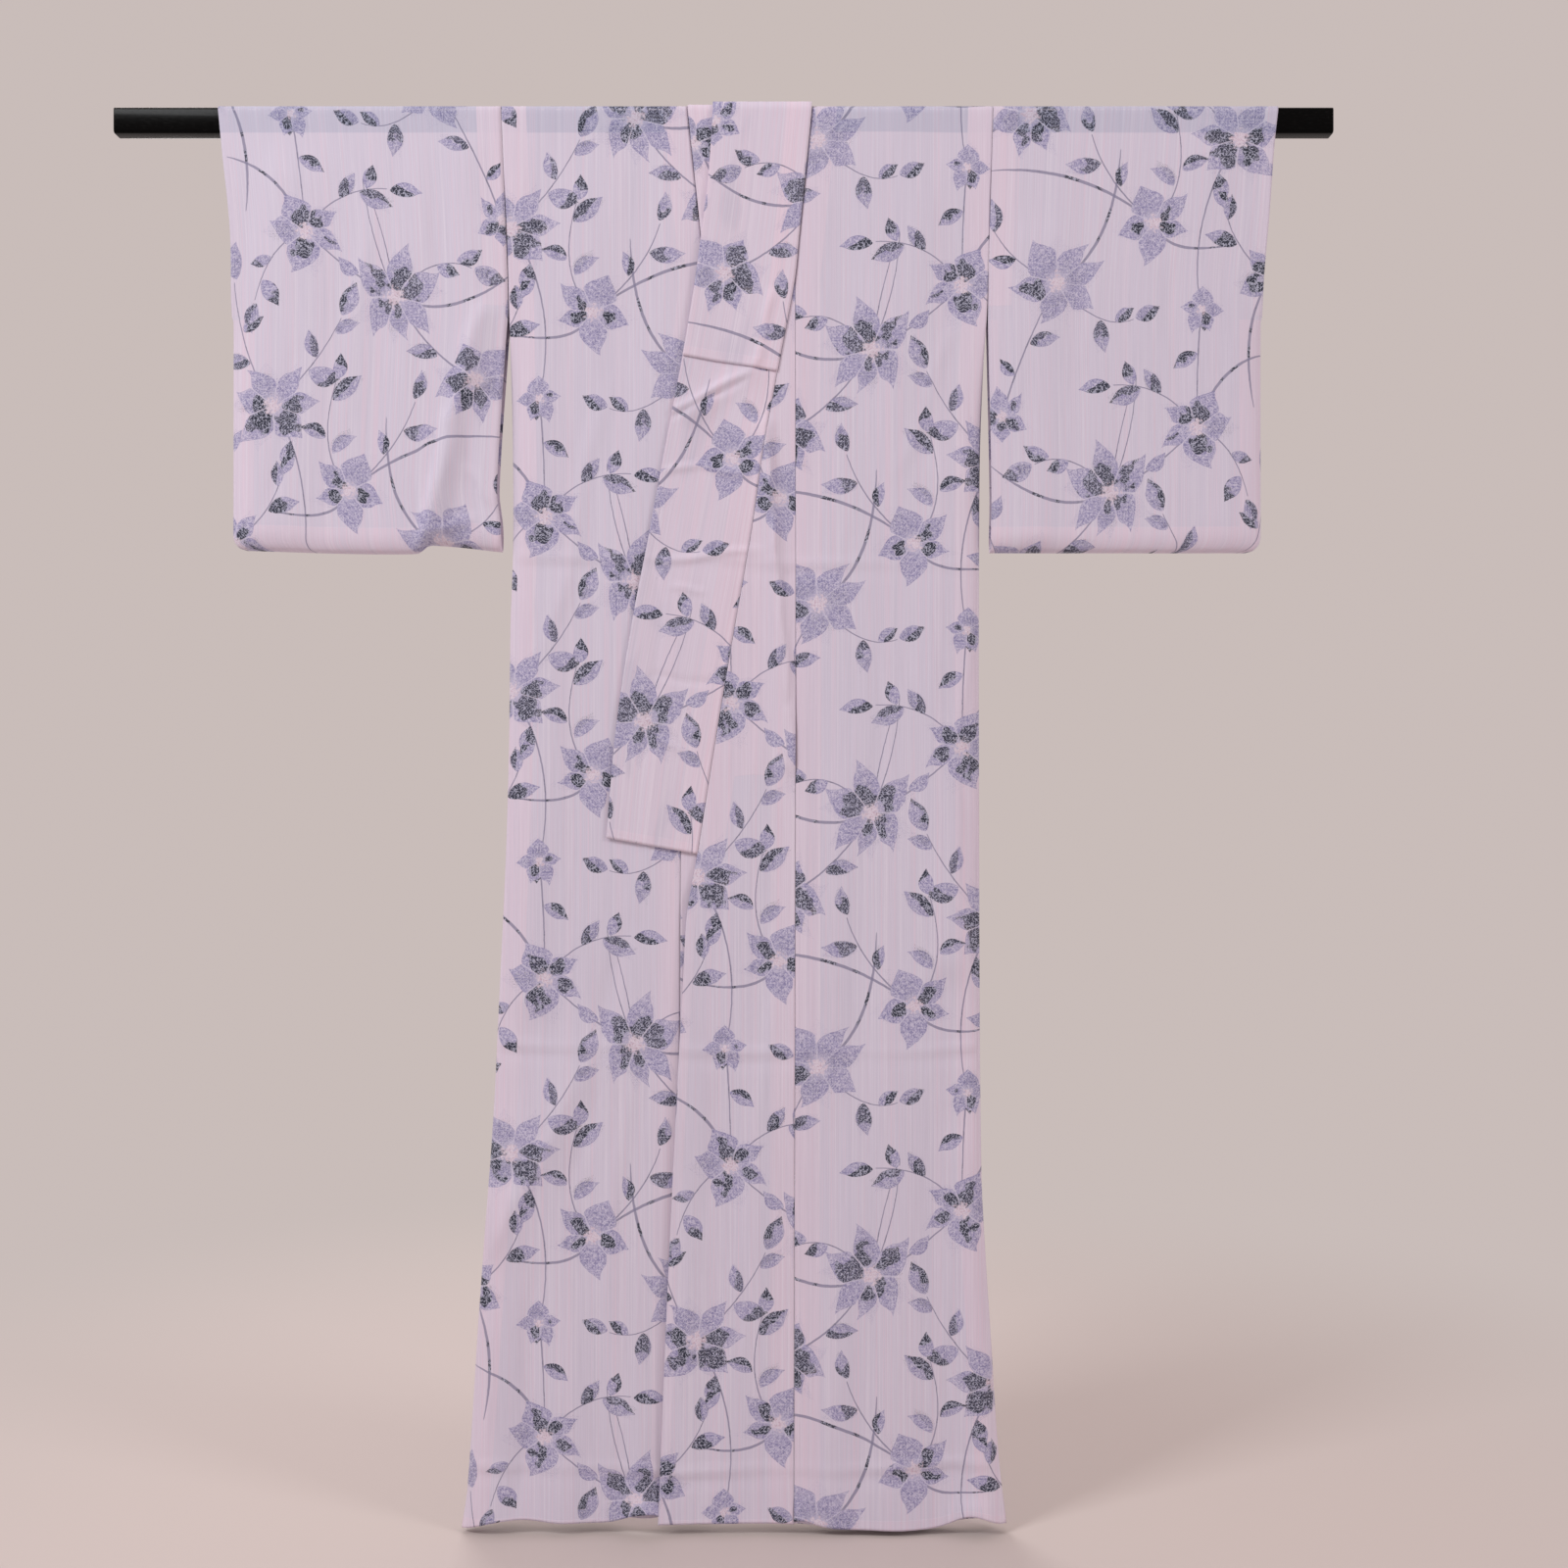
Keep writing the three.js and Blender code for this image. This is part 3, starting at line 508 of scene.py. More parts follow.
def cloth_finish():
    material, shader = plain("printed_summer_weave", GROUND, 0.86)
    shader.inputs["Sheen Weight"].default_value = 0.12
    shader.inputs["Sheen Roughness"].default_value = 0.4
    shader.inputs["Specular IOR Level"].default_value = 0.3
    base = Shade(material.node_tree)
    read = lambda name: base.node("ShaderNodeAttribute", {"attribute_name": name}, output="Vector")
    cloth = read("cloth")
    sheer, from_seam, from_edge = read("made").parts()
    place = base.node("ShaderNodeTexCoord", output="Object")

    # Warp: fine threads, streaks that fade in and out, pinker cloth where a seam's allowance lies behind
    threads = cloth.scaled(1.0, 0.012, 0).noise(THREADS, 2)
    streaks = cloth.scaled(1.0, 0.004, 0).noise(430, 3)
    greyer = cloth.scaled(1.0, 0.003, 0).noise(230, 2)
    broad = cloth.scaled(1.0, 0.001, 0).noise(48, 2)
    double = from_seam.falls(SEAM_ALLOWANCE - ALLOWANCE_EDGE, SEAM_ALLOWANCE + ALLOWANCE_EDGE)
    turned = from_edge.falls(TURNED_EDGE - TURNED_STEP, TURNED_EDGE + TURNED_STEP)
    pinker = double * 0.42 + turned * 0.25 + (1 - sheer) * 0.3 + (broad - 0.5) * 1.1
    ground = pinker.math("MAXIMUM", 0).math("MINIMUM", 1).blend(GROUND, DOUBLE_CLOTH)
    cloudy = cloth.scaled(1, 0.4, 0).noise(24, 2).rises(0.53, 0.66)
    ghost = cloudy * (1 - sheer) * from_seam.rises(0.03, 0.045)
    ground = (ghost * 0.55).blend(ground, GREY_WARP)
    ground = (streaks.rises(0.5, 0.66) * 0.42).blend(ground, PALE_WARP)
    ground = (streaks.falls(0.34, 0.48) * 0.4).blend(ground, PINK_WARP)
    ground = (greyer.rises(0.52, 0.7) * 0.22).blend(ground, GREY_WARP)

    # The black rod and the light along it, as they would show faintly through single cloth that lies on it:
    # painted shade darkens the cloth over the rod, and a painted highlight lies along the rod's lit corner
    x, _, height = place.parts()
    painted_rod_shade = sheer * (1 - double * 0.85) * height.rises(*ROD_SHADE_STARTS) * x.rises(-0.6, -0.59)
    lit = height.rises(*LIT_CORNER[:2]) * height.falls(*LIT_CORNER[2:])
    painted_rod_glint = lit * streaks.rises(0.44, 0.56) * sheer

    # Scribble: short curled pale lines on charcoal, and fainter ones all over the lavender
    curl = cloth.noise(270, 1.2)
    fine_curl = cloth.noise(300, 1.2)
    mottle = cloth.noise(250, 2)
    scribble = (abs(curl - 0.5).falls(0.015, 0.06) * 0.9).blend(CHARCOAL, PALE_CHARCOAL)
    wash = (mottle.rises(0.48, 0.58) * 0.75).blend(LAVENDER, DEEP_LAVENDER)
    wash = (abs(fine_curl - 0.5).falls(0.02, 0.07) * 0.8).blend(wash, PALE_LAVENDER)
    wobble = cloth.noise(120, 2) - 0.5
    patch = cloth.noise(60, 1) - 0.5

    # Vines: thin stems that fade towards their tips, and long arcs that swell and darken in their middle
    def vine(colour, name):
        t, aside, width = read(name).parts()
        arc = width.rises(ARC_WIDTH, ARC_WIDTH + 0.0001)
        swell = (1 - t) * t * 4
        half = width * 0.5 * ((1 - arc) * (1 - t * 0.45) + arc * (swell * 0.75 + 0.25))
        on = (half - abs(aside + wobble * 0.001)).rises(-PRINT_EDGE, PRINT_EDGE)
        on = on * t.rises(0.0, 0.01) * t.falls(0.985, 1.0)
        along = t * 8 + width * 4000
        dark = along.vector(along, 0).noise(1.0, 1).rises(0.5, 0.6)
        dark = dark * (0.35 + arc * 0.65) * (1 - arc * (1 - swell.rises(0.3, 0.8)))
        ink = (dark * 0.95).blend(VINE_GREY, scribble)
        return (on * (0.8 + dark * 0.15)).blend(colour, ink)

    # Leaves with a drawn-out, curling tip, one half or end of each in charcoal, the rest in a paler wash
    def leaf(colour, name):
        t, s, seed = read(name).parts()
        first, second, third = base.vector(seed, seed * 7, 0.5).dice()
        bent = s + (t - 0.4) * (t - 0.4) * (first - 0.5) * 1.1
        half = outline(t, *LEAF) * (0.86 + third * 0.3)
        room = half - abs(bent + wobble * 0.03)
        on = room.rises(-0.010, 0.010)
        rim = room.falls(0.010, 0.030)
        split = bent * (second - 0.5) * 16 + (t - 0.5) * (third - 0.5) * 6
        darker = (split + patch * 2.0 - 0.05).rises(-0.08, 0.06) * first.rises(0.2, 0.22)
        fill = (rim * 0.45).blend(wash, DEEP_LAVENDER)
        fill = (darker * 0.95).blend(fill, scribble)
        return on.blend(colour, fill)

    # Flowers: broad pointed petals, about half of them with a charcoal blot, round a heart of pale florets
    def flower(colour):
        p, q, kind = read("flower").parts()
        petals = kind.math("FLOOR")
        which = (kind - petals) * 20
        out = base.vector(p, q).length()
        turn = q.math("ARCTAN2", p)
        uneven = turn + (turn + which).math("SINE") * 0.2 + (turn * 2 + which * 1.7).math("SINE") * 0.1
        sector = uneven * petals / math.tau
        petal = sector.math("ROUND")
        swing = (sector - petal) * math.tau / petals
        wrapped = petal + petal.math("LESS_THAN", -0.5) * petals
        wrapped = wrapped - wrapped.math("GREATER_THAN", petals - 0.5) * petals
        first, second, third = base.vector(wrapped, which, 0.5).dice()
        fourth, fifth, sixth = base.vector(wrapped, which, 7.5).dice()
        t = out * swing.math("COSINE") / (0.76 + first * 0.24)
        s = out * swing.math("SINE") + (second - 0.5) * t * t * (t * t * t * 0.35 + 0.22)
        half = outline(t, *PETAL) * (0.86 + fourth * 0.3) * USUAL_PETALS / petals
        room = half - abs(s + wobble * 0.04)
        on = room.rises(-0.008, 0.008)
        between = (out / petals * math.pi - abs(swing) * out).falls(0.006, 0.018) * t.rises(0.12, 0.2)
        fill = (room.falls(0.004, 0.016) * 0.4).blend(wash, DEEP_LAVENDER)
        fill = (t.falls(0.15, 0.6) * third * 0.3).blend(fill, DEEP_LAVENDER)
        fill = (out.falls(0.14, 0.34) * 0.4).blend(fill, PALE_LAVENDER)
        along_blot = (t - 0.30 - fifth * 0.22) * 0.8
        across_blot = (s - (first - 0.5) * 0.12) * 1.1
        blot = 0.148 + fourth * 0.1 + patch * 0.6 - base.vector(along_blot, across_blot).length()
        fill = (blot.rises(-0.01, 0.02) * sixth.rises(0.43, 0.45) * 0.96).blend(fill, scribble)
        fill = (between * 0.7).blend(fill, PALE_LAVENDER)
        colour = on.blend(colour, fill)
        floret = cloth.noise(250, 1) - 0.5
        heart = (0.15 + (turn * 5 + which).math("COSINE") * 0.015 + floret * 0.4 - out).rises(-0.04, 0.05)
        speck = abs(fine_curl - 0.5).falls(0.01, 0.045).blend(FLOWER_HEART, HEART_PINK)
        return (heart * 0.88).blend(colour, speck)

    colour = vine(vine(ground, "next_vine"), "vine")
    colour = leaf(leaf(colour, "next_leaf"), "leaf")
    colour = flower(colour)
    # Painted shade: single cloth over the rod is darkened
    darker = base.node("ShaderNodeVectorMath", {"operation": "MULTIPLY"}, {0: colour, 1: ROD_SHADE_TINT[:3]})
    colour = (painted_rod_shade * 0.6).blend(colour, darker)
    # Painted highlight: a thin pale line where the rod's lit corner would show through the cloth
    colour = (painted_rod_glint * 0.35).blend(colour, PALE_WARP)
    thread_shade = (threads - 0.5) * 0.2 + 1
    colour = base.node("ShaderNodeVectorMath", {"operation": "SCALE"}, {0: colour, "Scale": thread_shade})
    colour.into(shader, "Base Color")

    # Weave: raised warp with slubs, crossed by finer weft, and a step where an edge is turned in
    weft = cloth.scaled(0.03, 1.0, 0).noise(1500, 1)
    relief = threads * 0.6 + streaks * 0.5 + weft * 0.35 + turned * 0.8 + double * 0.5
    weave = {"Height": relief, "Strength": 0.35, "Distance": 0.00035}
    base.node("ShaderNodeBump", inputs=weave).into(shader, "Normal")
    (0.82 + (streaks - 0.5) * 0.2).into(shader, "Roughness")
    return material


cloth_material = cloth_finish()

# How the cloth hangs
# Every piece follows the same few curves: how far front and back stand from the rod's plane, where seams
# and edges run as they drop from the shoulder line, and the folds, each a ridge between two places.
CLOTH = 0.0012
THIN_CLOTH = 0.0007
SEAM_GAP = 0.0003
LAYER = 0.0016
EDGE_ROUND = 0.022
ROD_HEIGHT = rod_high.z - rod_low.z
OVER_ROD = ROD_HEIGHT / 2 + 0.0004 + CLOTH / 2
SHOULDER = OVER_ROD + CLOTH / 2
ROD_SIDE_DROP = 0.005
HALF_OVER_ROD = 0.0146
BACK_NECK = 0.038
OVERLAP_TOP = 0.198
SLEEVE_JOIN = 0.228
SIDE_SEAM_TOP = 0.386
SLEEVE_DROP = 0.502
COLLAR_END = 0.842
OVER_COLLAR_END = 0.300
BODY_LENGTH = 1.600
NECK_MIDDLE = 0.0035
# drop, half
HANG = [
    (0, 0.012),
    (0.11, 0.0118),
    (0.3, 0.0102),
    (0.62, 0.0094),
    (1.2, 0.0092),
    (1.6, 0.0104),
]
# drop, x
LEFT_SIDE = [
    (0, 0.277),
    (0.228, 0.2704),
    (0.3, 0.266),
    (0.433, 0.2625),
    (0.873, 0.2625),
    (1.203, 0.265),
    (1.298, 0.2697),
    (1.38, 0.275),
    (1.52, 0.284),
    (1.6, 0.293),
]
# drop, x
RIGHT_SIDE = [
    (0, -0.276),
    (0.228, -0.2672),
    (0.4, -0.264),
    (0.5, -0.264),
    (0.587, -0.267),
    (0.719, -0.2686),
    (0.84, -0.272),
    (1.011, -0.28),
    (1.148, -0.287),
    (1.37, -0.303),
    (1.559, -0.3155),
    (1.602, -0.322),
]
# drop, loose, seam
COLLAR = [
    (0, -0.0375, 0.0738),
    (0.083, -0.043, 0.0656),
    (0.15, -0.0515, 0.0589),
    (0.198, -0.058, 0.054),
    (0.28, -0.0716, 0.0385),
    (0.376, -0.09, 0.0206),
    (0.478, -0.109, 0.0055),
    (0.58, -0.1286, -0.0125),
    (0.7, -0.1468, -0.0328),
    (0.845, -0.1595, -0.0558),
]
# drop, x
OVERLAP_EDGE = [
    (0.842, -0.0556),
    (0.866, -0.0602),
    (0.913, -0.0676),
    (0.986, -0.0718),
    (1.148, -0.0804),
    (1.37, -0.0907),
    (1.6, -0.0996),
]
# drop, x
LEFT_OVERLAP_SEAM = [
    (0.198, 0.0544),
    (0.6, 0.055),
    (1.6, 0.053),
]
# drop, x
RIGHT_OVERLAP_SEAM = [
    (0.198, -0.0474),
    (0.3, -0.0575),
    (0.5, -0.0665),
    (0.84, -0.074),
    (1.05, -0.0748),
    (1.6, -0.08),
]
# drop, x
RIGHT_FRONT_SHIFT = [
    (0, 0),
    (0.2, 0),
    (0.5, 0.016),
    (0.842, 0.028),
    (1.6, 0.033),
]
# x, drop
HEM = [
    (-0.322, 1.602),
    (-0.276, 1.593),
    (-0.16, 1.594),
    (-0.098, 1.594),
    (0.053, 1.594),
    (0.11, 1.599),
    (0.221, 1.6),
    (0.254, 1.597),
    (0.293, 1.598),
]
HEM_LIFTS = [
    # x, half width, height
    (-0.114, 0.026, 0.0150),
    (-0.262, 0.034, 0.0030),
    (0.062, 0.014, 0.0050),
    (0.252, 0.028, 0.0140),
]
# x0, drop0, x1, drop1, width, upper, lower
FRONT_FOLDS = [
    (-0.178, 1.071, -0.286, 1.26, 0.036, 0.003, 0.005),
    (-0.262, 1.24, -0.288, 1.6, 0.024, 0.002, 0.006),
    (-0.196, 1.18, -0.212, 1.6, 0.026, 0.001, 0.006),
    (-0.128, 1.42, -0.117, 1.6, 0.015, 0.001, 0.009),
    (-0.226, 0.56, -0.24, 1, 0.024, 0.002, 0.004),
    (0.236, 1.18, 0.262, 1.6, 0.024, 0.002, 0.007),
    (0.176, 1, 0.168, 1.6, 0.034, 0.001, 0.005),
    (0.096, 0.76, 0.1, 1.6, 0.026, 0.001, 0.004),
    (0.214, 0.42, 0.226, 0.96, 0.024, 0.002, 0.004),
]
# x0, drop0, x1, drop1, width, upper, lower
TOP_FRONT_FOLDS = [
    (0.021, 0.362, 0.047, 0.74, 0.011, 0.005, 0.003),
    (-0.06, 0.345, 0.004, 0.3, 0.013, 0.004, 0.002),
    (-0.062, 0.9, -0.076, 1.6, 0.024, 0.003, 0.003),
]
# x0, drop0, x1, drop1, width, upper, lower
BACK_FOLDS = [
    (-0.232, 0.47, -0.272, 1.6, 0.026, 0.002, 0.007),
    (-0.15, 0.76, -0.176, 1.6, 0.03, 0.001, 0.006),
    (-0.062, 0.3, -0.074, 1.6, 0.026, 0.001, 0.005),
    (0.052, 0.26, 0.058, 1.6, 0.026, 0.001, 0.005),
    (0.144, 0.82, 0.16, 1.6, 0.03, 0.001, 0.006),
    (0.226, 0.44, 0.256, 1.6, 0.026, 0.002, 0.007),
]
# x0, drop0, x1, drop1, width, upper, lower
SLEEVE_FRONT_FOLDS = [
    (-0.296, 0.236, -0.36, 0.502, 0.015, 0.003, 0.011),
    (-0.318, 0.06, -0.306, 0.3, 0.024, 0.002, 0.004),
    (-0.52, 0.09, -0.524, 0.46, 0.034, 0.003, 0.003),
    (0.52, 0.06, 0.53, 0.46, 0.034, 0.003, 0.003),
    (0.33, 0.16, 0.322, 0.48, 0.026, 0.002, 0.004),
]
# x0, drop0, x1, drop1, width, upper, lower
SLEEVE_BACK_FOLDS = [
    (-0.33, 0.12, -0.344, 0.47, 0.028, 0.002, 0.004),
    (-0.47, 0.06, -0.462, 0.44, 0.034, 0.002, 0.004),
    (0.35, 0.12, 0.346, 0.47, 0.028, 0.002, 0.004),
    (0.484, 0.06, 0.492, 0.44, 0.034, 0.002, 0.004),
]
# drop, inner edge, outer edge
LEFT_SLEEVE = [
    (0, 0.2773, 0.598),
    (0.041, 0.2762, 0.5935),
    (0.118, 0.274, 0.588),
    (0.195, 0.2718, 0.5815),
    (0.228, 0.2712, 0.5806),
    (0.433, 0.2754, 0.5806),
    (0.502, 0.2742, 0.5806),
]
LEFT_SLEEVE_HEM = [(0.274, 0.502), (0.58, 0.502)]
RIGHT_SLEEVE = [
    (0, -0.2763, -0.5945),
    (0.047, -0.2744, -0.59),
    (0.141, -0.2706, -0.5808),
    (0.228, -0.2682, -0.58),
    (0.267, -0.2709, -0.58),
    (0.432, -0.281, -0.58),
    (0.471, -0.277, -0.58),
    (0.502, -0.276, -0.58),
]
# x, drop
RIGHT_SLEEVE_HEM = [(-0.58, 0.499), (-0.372, 0.503), (-0.356, 0.494), (-0.276, 0.501)]

# Creases: where the garment lay folded, and soft bends of thin cloth that hangs free
STORAGE_CREASES = (0.512, 1.060, 1.530)
RIPPLE = 0.0013
CREASES = [
    # x0, drop0, x1, drop1, width, height
    (-0.150, 0.300, -0.235, 0.640, 0.0080, 0.0018),
    (-0.100, 0.470, -0.120, 0.860, 0.0070, -0.0015),
    (-0.245, 0.300, -0.205, 0.520, 0.0070, 0.0015),
    (-0.130, 0.905, -0.205, 1.240, 0.0100, -0.0024),
    (-0.185, 1.080, -0.290, 1.300, 0.0090, 0.0024),
    (-0.130, 1.000, -0.160, 1.560, 0.0090, 0.0021),
    (-0.235, 1.300, -0.260, 1.600, 0.0080, -0.0021),
    (-0.288, 1.330, -0.300, 1.600, 0.0070, 0.0021),
    (0.080, 0.210, 0.120, 0.480, 0.0080, 0.0015),
    (0.236, 0.240, 0.170, 0.420, 0.0070, 0.0015),
    (0.150, 0.520, 0.130, 0.980, 0.0090, -0.0015),
    (0.250, 0.560, 0.232, 0.880, 0.0070, 0.0015),
    (0.122, 1.080, 0.150, 1.600, 0.0090, 0.0018),
    (0.222, 1.120, 0.240, 1.590, 0.0080, -0.0021),
    (0.030, 0.880, 0.010, 1.500, 0.0090, 0.0015),
    (-0.030, 1.080, -0.052, 1.600, 0.0090, -0.0015),
    (-0.066, 1.180, -0.086, 1.600, 0.0060, 0.0015),
]
TOP_CREASES = [
    (-0.088, 0.346, 0.008, 0.298, 0.0033, 0.0034),
    (-0.090, 0.354, 0.002, 0.307, 0.0030, -0.0022),
    (0.028, 0.206, 0.018, 0.268, 0.0042, 0.0030),
    (0.018, 0.268, 0.011, 0.294, 0.0042, 0.0030),
    (-0.094, 0.412, -0.052, 0.404, 0.0036, 0.0024),
    (-0.056, 0.404, 0.004, 0.417, 0.0036, 0.0024),
    (-0.104, 0.512, 0.028, 0.500, 0.0038, 0.0025),
    (-0.088, 0.540, -0.044, 0.548, 0.0036, 0.0014),
    (-0.112, 0.640, -0.030, 0.652, 0.0044, -0.0012),
    (-0.120, 0.700, -0.060, 0.735, 0.0040, 0.0014),
    (0.021, 0.362, 0.029, 0.460, 0.0040, 0.0033),
    (0.029, 0.460, 0.037, 0.545, 0.0040, 0.0033),
    (0.037, 0.545, 0.047, 0.672, 0.0040, 0.0027),
    (0.047, 0.672, 0.054, 0.745, 0.0036, 0.0018),
]
BACK_CREASES = [
    (-0.200, 0.300, -0.228, 0.700, 0.0090, 0.0012),
    (-0.110, 0.480, -0.130, 1.000, 0.0090, -0.0012),
    (-0.040, 0.360, -0.036, 0.860, 0.0080, 0.0010),
    (-0.240, 1.000, -0.285, 1.600, 0.0090, 0.0014),
    (-0.118, 1.100, -0.126, 1.600, 0.0090, 0.0012),
    (0.100, 0.300, 0.120, 0.720, 0.0090, 0.0012),
    (0.196, 0.420, 0.214, 0.980, 0.0080, -0.0012),
    (0.030, 0.900, 0.022, 1.600, 0.0090, 0.0012),
    (0.112, 1.060, 0.120, 1.600, 0.0080, -0.0012),
    (0.210, 1.160, 0.236, 1.600, 0.0090, 0.0014),
]
SLEEVE_CREASES = [
    (-0.296, 0.222, -0.338, 0.372, 0.0060, 0.0036),
    (-0.332, 0.340, -0.362, 0.505, 0.0060, 0.0042),
    (-0.322, 0.300, -0.300, 0.480, 0.0070, -0.0022),
    (-0.356, 0.490, -0.300, 0.466, 0.0050, 0.0026),
    (-0.318, 0.405, -0.284, 0.452, 0.0050, 0.0022),
    (-0.420, 0.100, -0.452, 0.360, 0.0090, 0.0012),
    (-0.500, 0.260, -0.545, 0.480, 0.0080, -0.0012),
    (-0.380, 0.040, -0.350, 0.220, 0.0080, 0.0012),
    (0.300, 0.236, 0.312, 0.470, 0.0070, 0.0012),
    (0.400, 0.060, 0.380, 0.300, 0.0090, 0.0012),
    (0.470, 0.180, 0.500, 0.440, 0.0090, -0.0012),
    (0.556, 0.100, 0.548, 0.330, 0.0070, 0.0012),
]


def curve_at(rows, place, column=1):
    """A smooth curve through one column of a table, read at places in its first column."""
    keys = np.array([row[0] for row in rows])
    values = np.array([row[column] for row in rows])
    place = np.clip(place, keys[0], keys[-1])
    i = np.clip(np.searchsorted(keys, place, side="right") - 1, 0, len(keys) - 2)
    step = keys[i + 1] - keys[i]
    t = (place - keys[i]) / step
    before, after = np.maximum(i - 1, 0), np.minimum(i + 2, len(keys) - 1)
    here = (values[i + 1] - values[before]) / (keys[i + 1] - keys[before]) * step
    there = (values[after] - values[i]) / (keys[after] - keys[i]) * step
    bend = t * (1 - t) * (here * (1 - t) - there * t)
    return mix(values[i], values[i + 1], t * t * (3 - 2 * t)) + bend


def mix(a, b, share):
    return a + (b - a) * share


def ease(value, low, high):
    t = np.clip((value - low) / (high - low), 0, 1)
    return t * t * (3 - 2 * t)


def folds(rows, x, drop):
    """How far a table's folds lift the cloth."""
    lift = 0
    for x0, drop0, x1, drop1, width, upper, lower in rows:
        dx, dd = x1 - x0, drop1 - drop0
        t = np.clip(((x - x0) * dx + (drop - drop0) * dd) / (dx * dx + dd * dd), 0, 1)
        away = np.hypot(x - x0 - t * dx, drop - drop0 - t * dd) / width
        lift = lift + mix(upper, lower, t) * np.exp(-away ** 2)
    return lift


def creases(rows, x, drop):
    """The same for creases, which are narrow, wander a little and fade out at both ends."""
    lift = 0
    for number, (x0, drop0, x1, drop1, width, height) in enumerate(rows):
        dx, dd = x1 - x0, drop1 - drop0
        long = math.hypot(dx, dd)
        t = np.clip(((x - x0) * dx + (drop - drop0) * dd) / long ** 2, 0, 1)
        aside = ((x - x0) * dd - (drop - drop0) * dx) / long
        aside = aside + 0.02 * long * np.sin(t * 7 + number * 2.1) * t * (1 - t) * 4
        past = np.hypot(x - x0 - t * dx, drop - drop0 - t * dd)
        away = np.where((t > 0) & (t < 1), np.abs(aside), past) / width
        lift = lift + height * (1 - (2 * t - 1) ** 4) * np.exp(-away ** 2)
    return lift


def ripple(x, drop, seed):
    """Slight waves over all of a panel, longer down the cloth than across it."""
    draw = np.random.default_rng(seed)
    lift = 0
    for _ in range(9):
        across = math.tau / draw.uniform(0.045, 0.16)
        down = math.tau / draw.uniform(0.25, 0.9) * draw.choice((-1, 1))
        strength, phase = draw.uniform(0.10, 0.30), draw.uniform(0, math.tau)
        lift = lift + strength * np.sin(x * across + drop * down + phase)
    return lift * RIPPLE


def storage(x, drop):
    """The shallow cross creases from folding, uneven across the width."""
    lift = 0
    for number, level in enumerate(STORAGE_CREASES):
        line = level + 0.004 * np.sin(x * 9 + number) + 0.0015 * np.sin(x * 31 + 2 * number)
        depth = (0.0013 + 0.0004 * number) * (0.65 + 0.35 * np.sin(x * 23 + number * 1.7))
        lift = lift + depth * np.exp(-((drop - line) / 0.0045) ** 2)
        lift = lift - 0.5 * depth * np.exp(-((drop - line - 0.011) / 0.008) ** 2)
    return lift


def rounding(distance):
    """0 on a closed edge, 1 where the cloth has rounded off to its full depth."""
    t = np.clip(1 - distance / EDGE_ROUND, 0, 1)
    return np.sqrt(1 - t * t)


def body_side(x, drop):
    """How far inside the body's side edge a place lies."""
    side = np.where(x > 0, curve_at(LEFT_SIDE, drop) - x, x - curve_at(RIGHT_SIDE, drop))
    return np.maximum(side, 0)


def body_depth(x, drop, front):
    """How far the body's front or back lies from the middle plane; the two meet at the side seam."""
    full = mix(1, rounding(body_side(x, drop)), ease(drop, SLEEVE_JOIN, SIDE_SEAM_TOP))
    settle = ease(drop, 0.01, 0.12)
    fore = folds(FRONT_FOLDS, x, drop) + settle * (creases(CREASES, x, drop) + ripple(x, drop, 3))
    aft = folds(BACK_FOLDS, x, drop) + settle * (creases(BACK_CREASES, x, drop) + ripple(x, drop, 8))
    fore = fore + settle * storage(x, drop)
    aft = aft + settle * storage(x, drop)
    push = (1 - full) * (aft - fore) / 2
    half = full * curve_at(HANG, drop)
    return half + full * fore - push if front else half + full * aft + push


# Over the rod, from its front at -1 to its back at 1
ROD_PATH = [
    # turn, y, up, outward y, outward z
    (-1.0, -0.0120, -0.0044, -1.0, 0.0),
    (-0.78, -0.0109, -0.0011, -0.75, 0.75),
    (-0.5, -0.0074, 0.0, -0.25, 1.0),
    (0.0, 0.0, 0.00015, 0.0, 1.0),
    (0.5, 0.0074, 0.0, 0.25, 1.0),
    (0.78, 0.0109, -0.0011, 0.75, 0.75),
    (1.0, 0.0120, -0.0044, 1.0, 0.0),
]


def over_rod(turn, layer):
    """y and z of cloth on the rod, lying on as many layers."""
    out = layer * LAYER
    y = curve_at(ROD_PATH, turn, 1) + curve_at(ROD_PATH, turn, 3) * out
    z = OVER_ROD + curve_at(ROD_PATH, turn, 2) + curve_at(ROD_PATH, turn, 4) * out
    return y, z


def hung(x, drop, turn, is_front, layer, front_depth, back_depth):
    """Places of a strip that hangs down the front, passes over the rod and hangs down the back."""
    rod_y, rod_z = over_rod(turn, layer)
    y = np.where(is_front, -(front_depth + layer * LAYER), back_depth + layer * LAYER)
    on_rod = np.abs(turn) < 1
    return np.stack([x, np.where(on_rod, rod_y, y), np.where(on_rod, rod_z, SHOULDER - drop)], axis=1)


def strip(way):
    """The drop, the turn over the rod and whether it is on the front, for places along a strip. Their way
    is measured from the top of the rod and is negative on the front."""
    turn = np.clip(way / HALF_OVER_ROD, -1, 1)
    drop = np.maximum(np.abs(way) - HALF_OVER_ROD, 0) + ROD_SIDE_DROP
    return drop, turn, way < 0


def spaced(start, end, step):
    count = max(2, round(abs(end - start) / step) + 1)
    return np.linspace(start, end, count)


def stations(*stretches):
    """Grid lines along stretches of (start, end, spacing)."""
    return np.unique(np.round(np.concatenate([spaced(*stretch) for stretch in stretches]), 6))


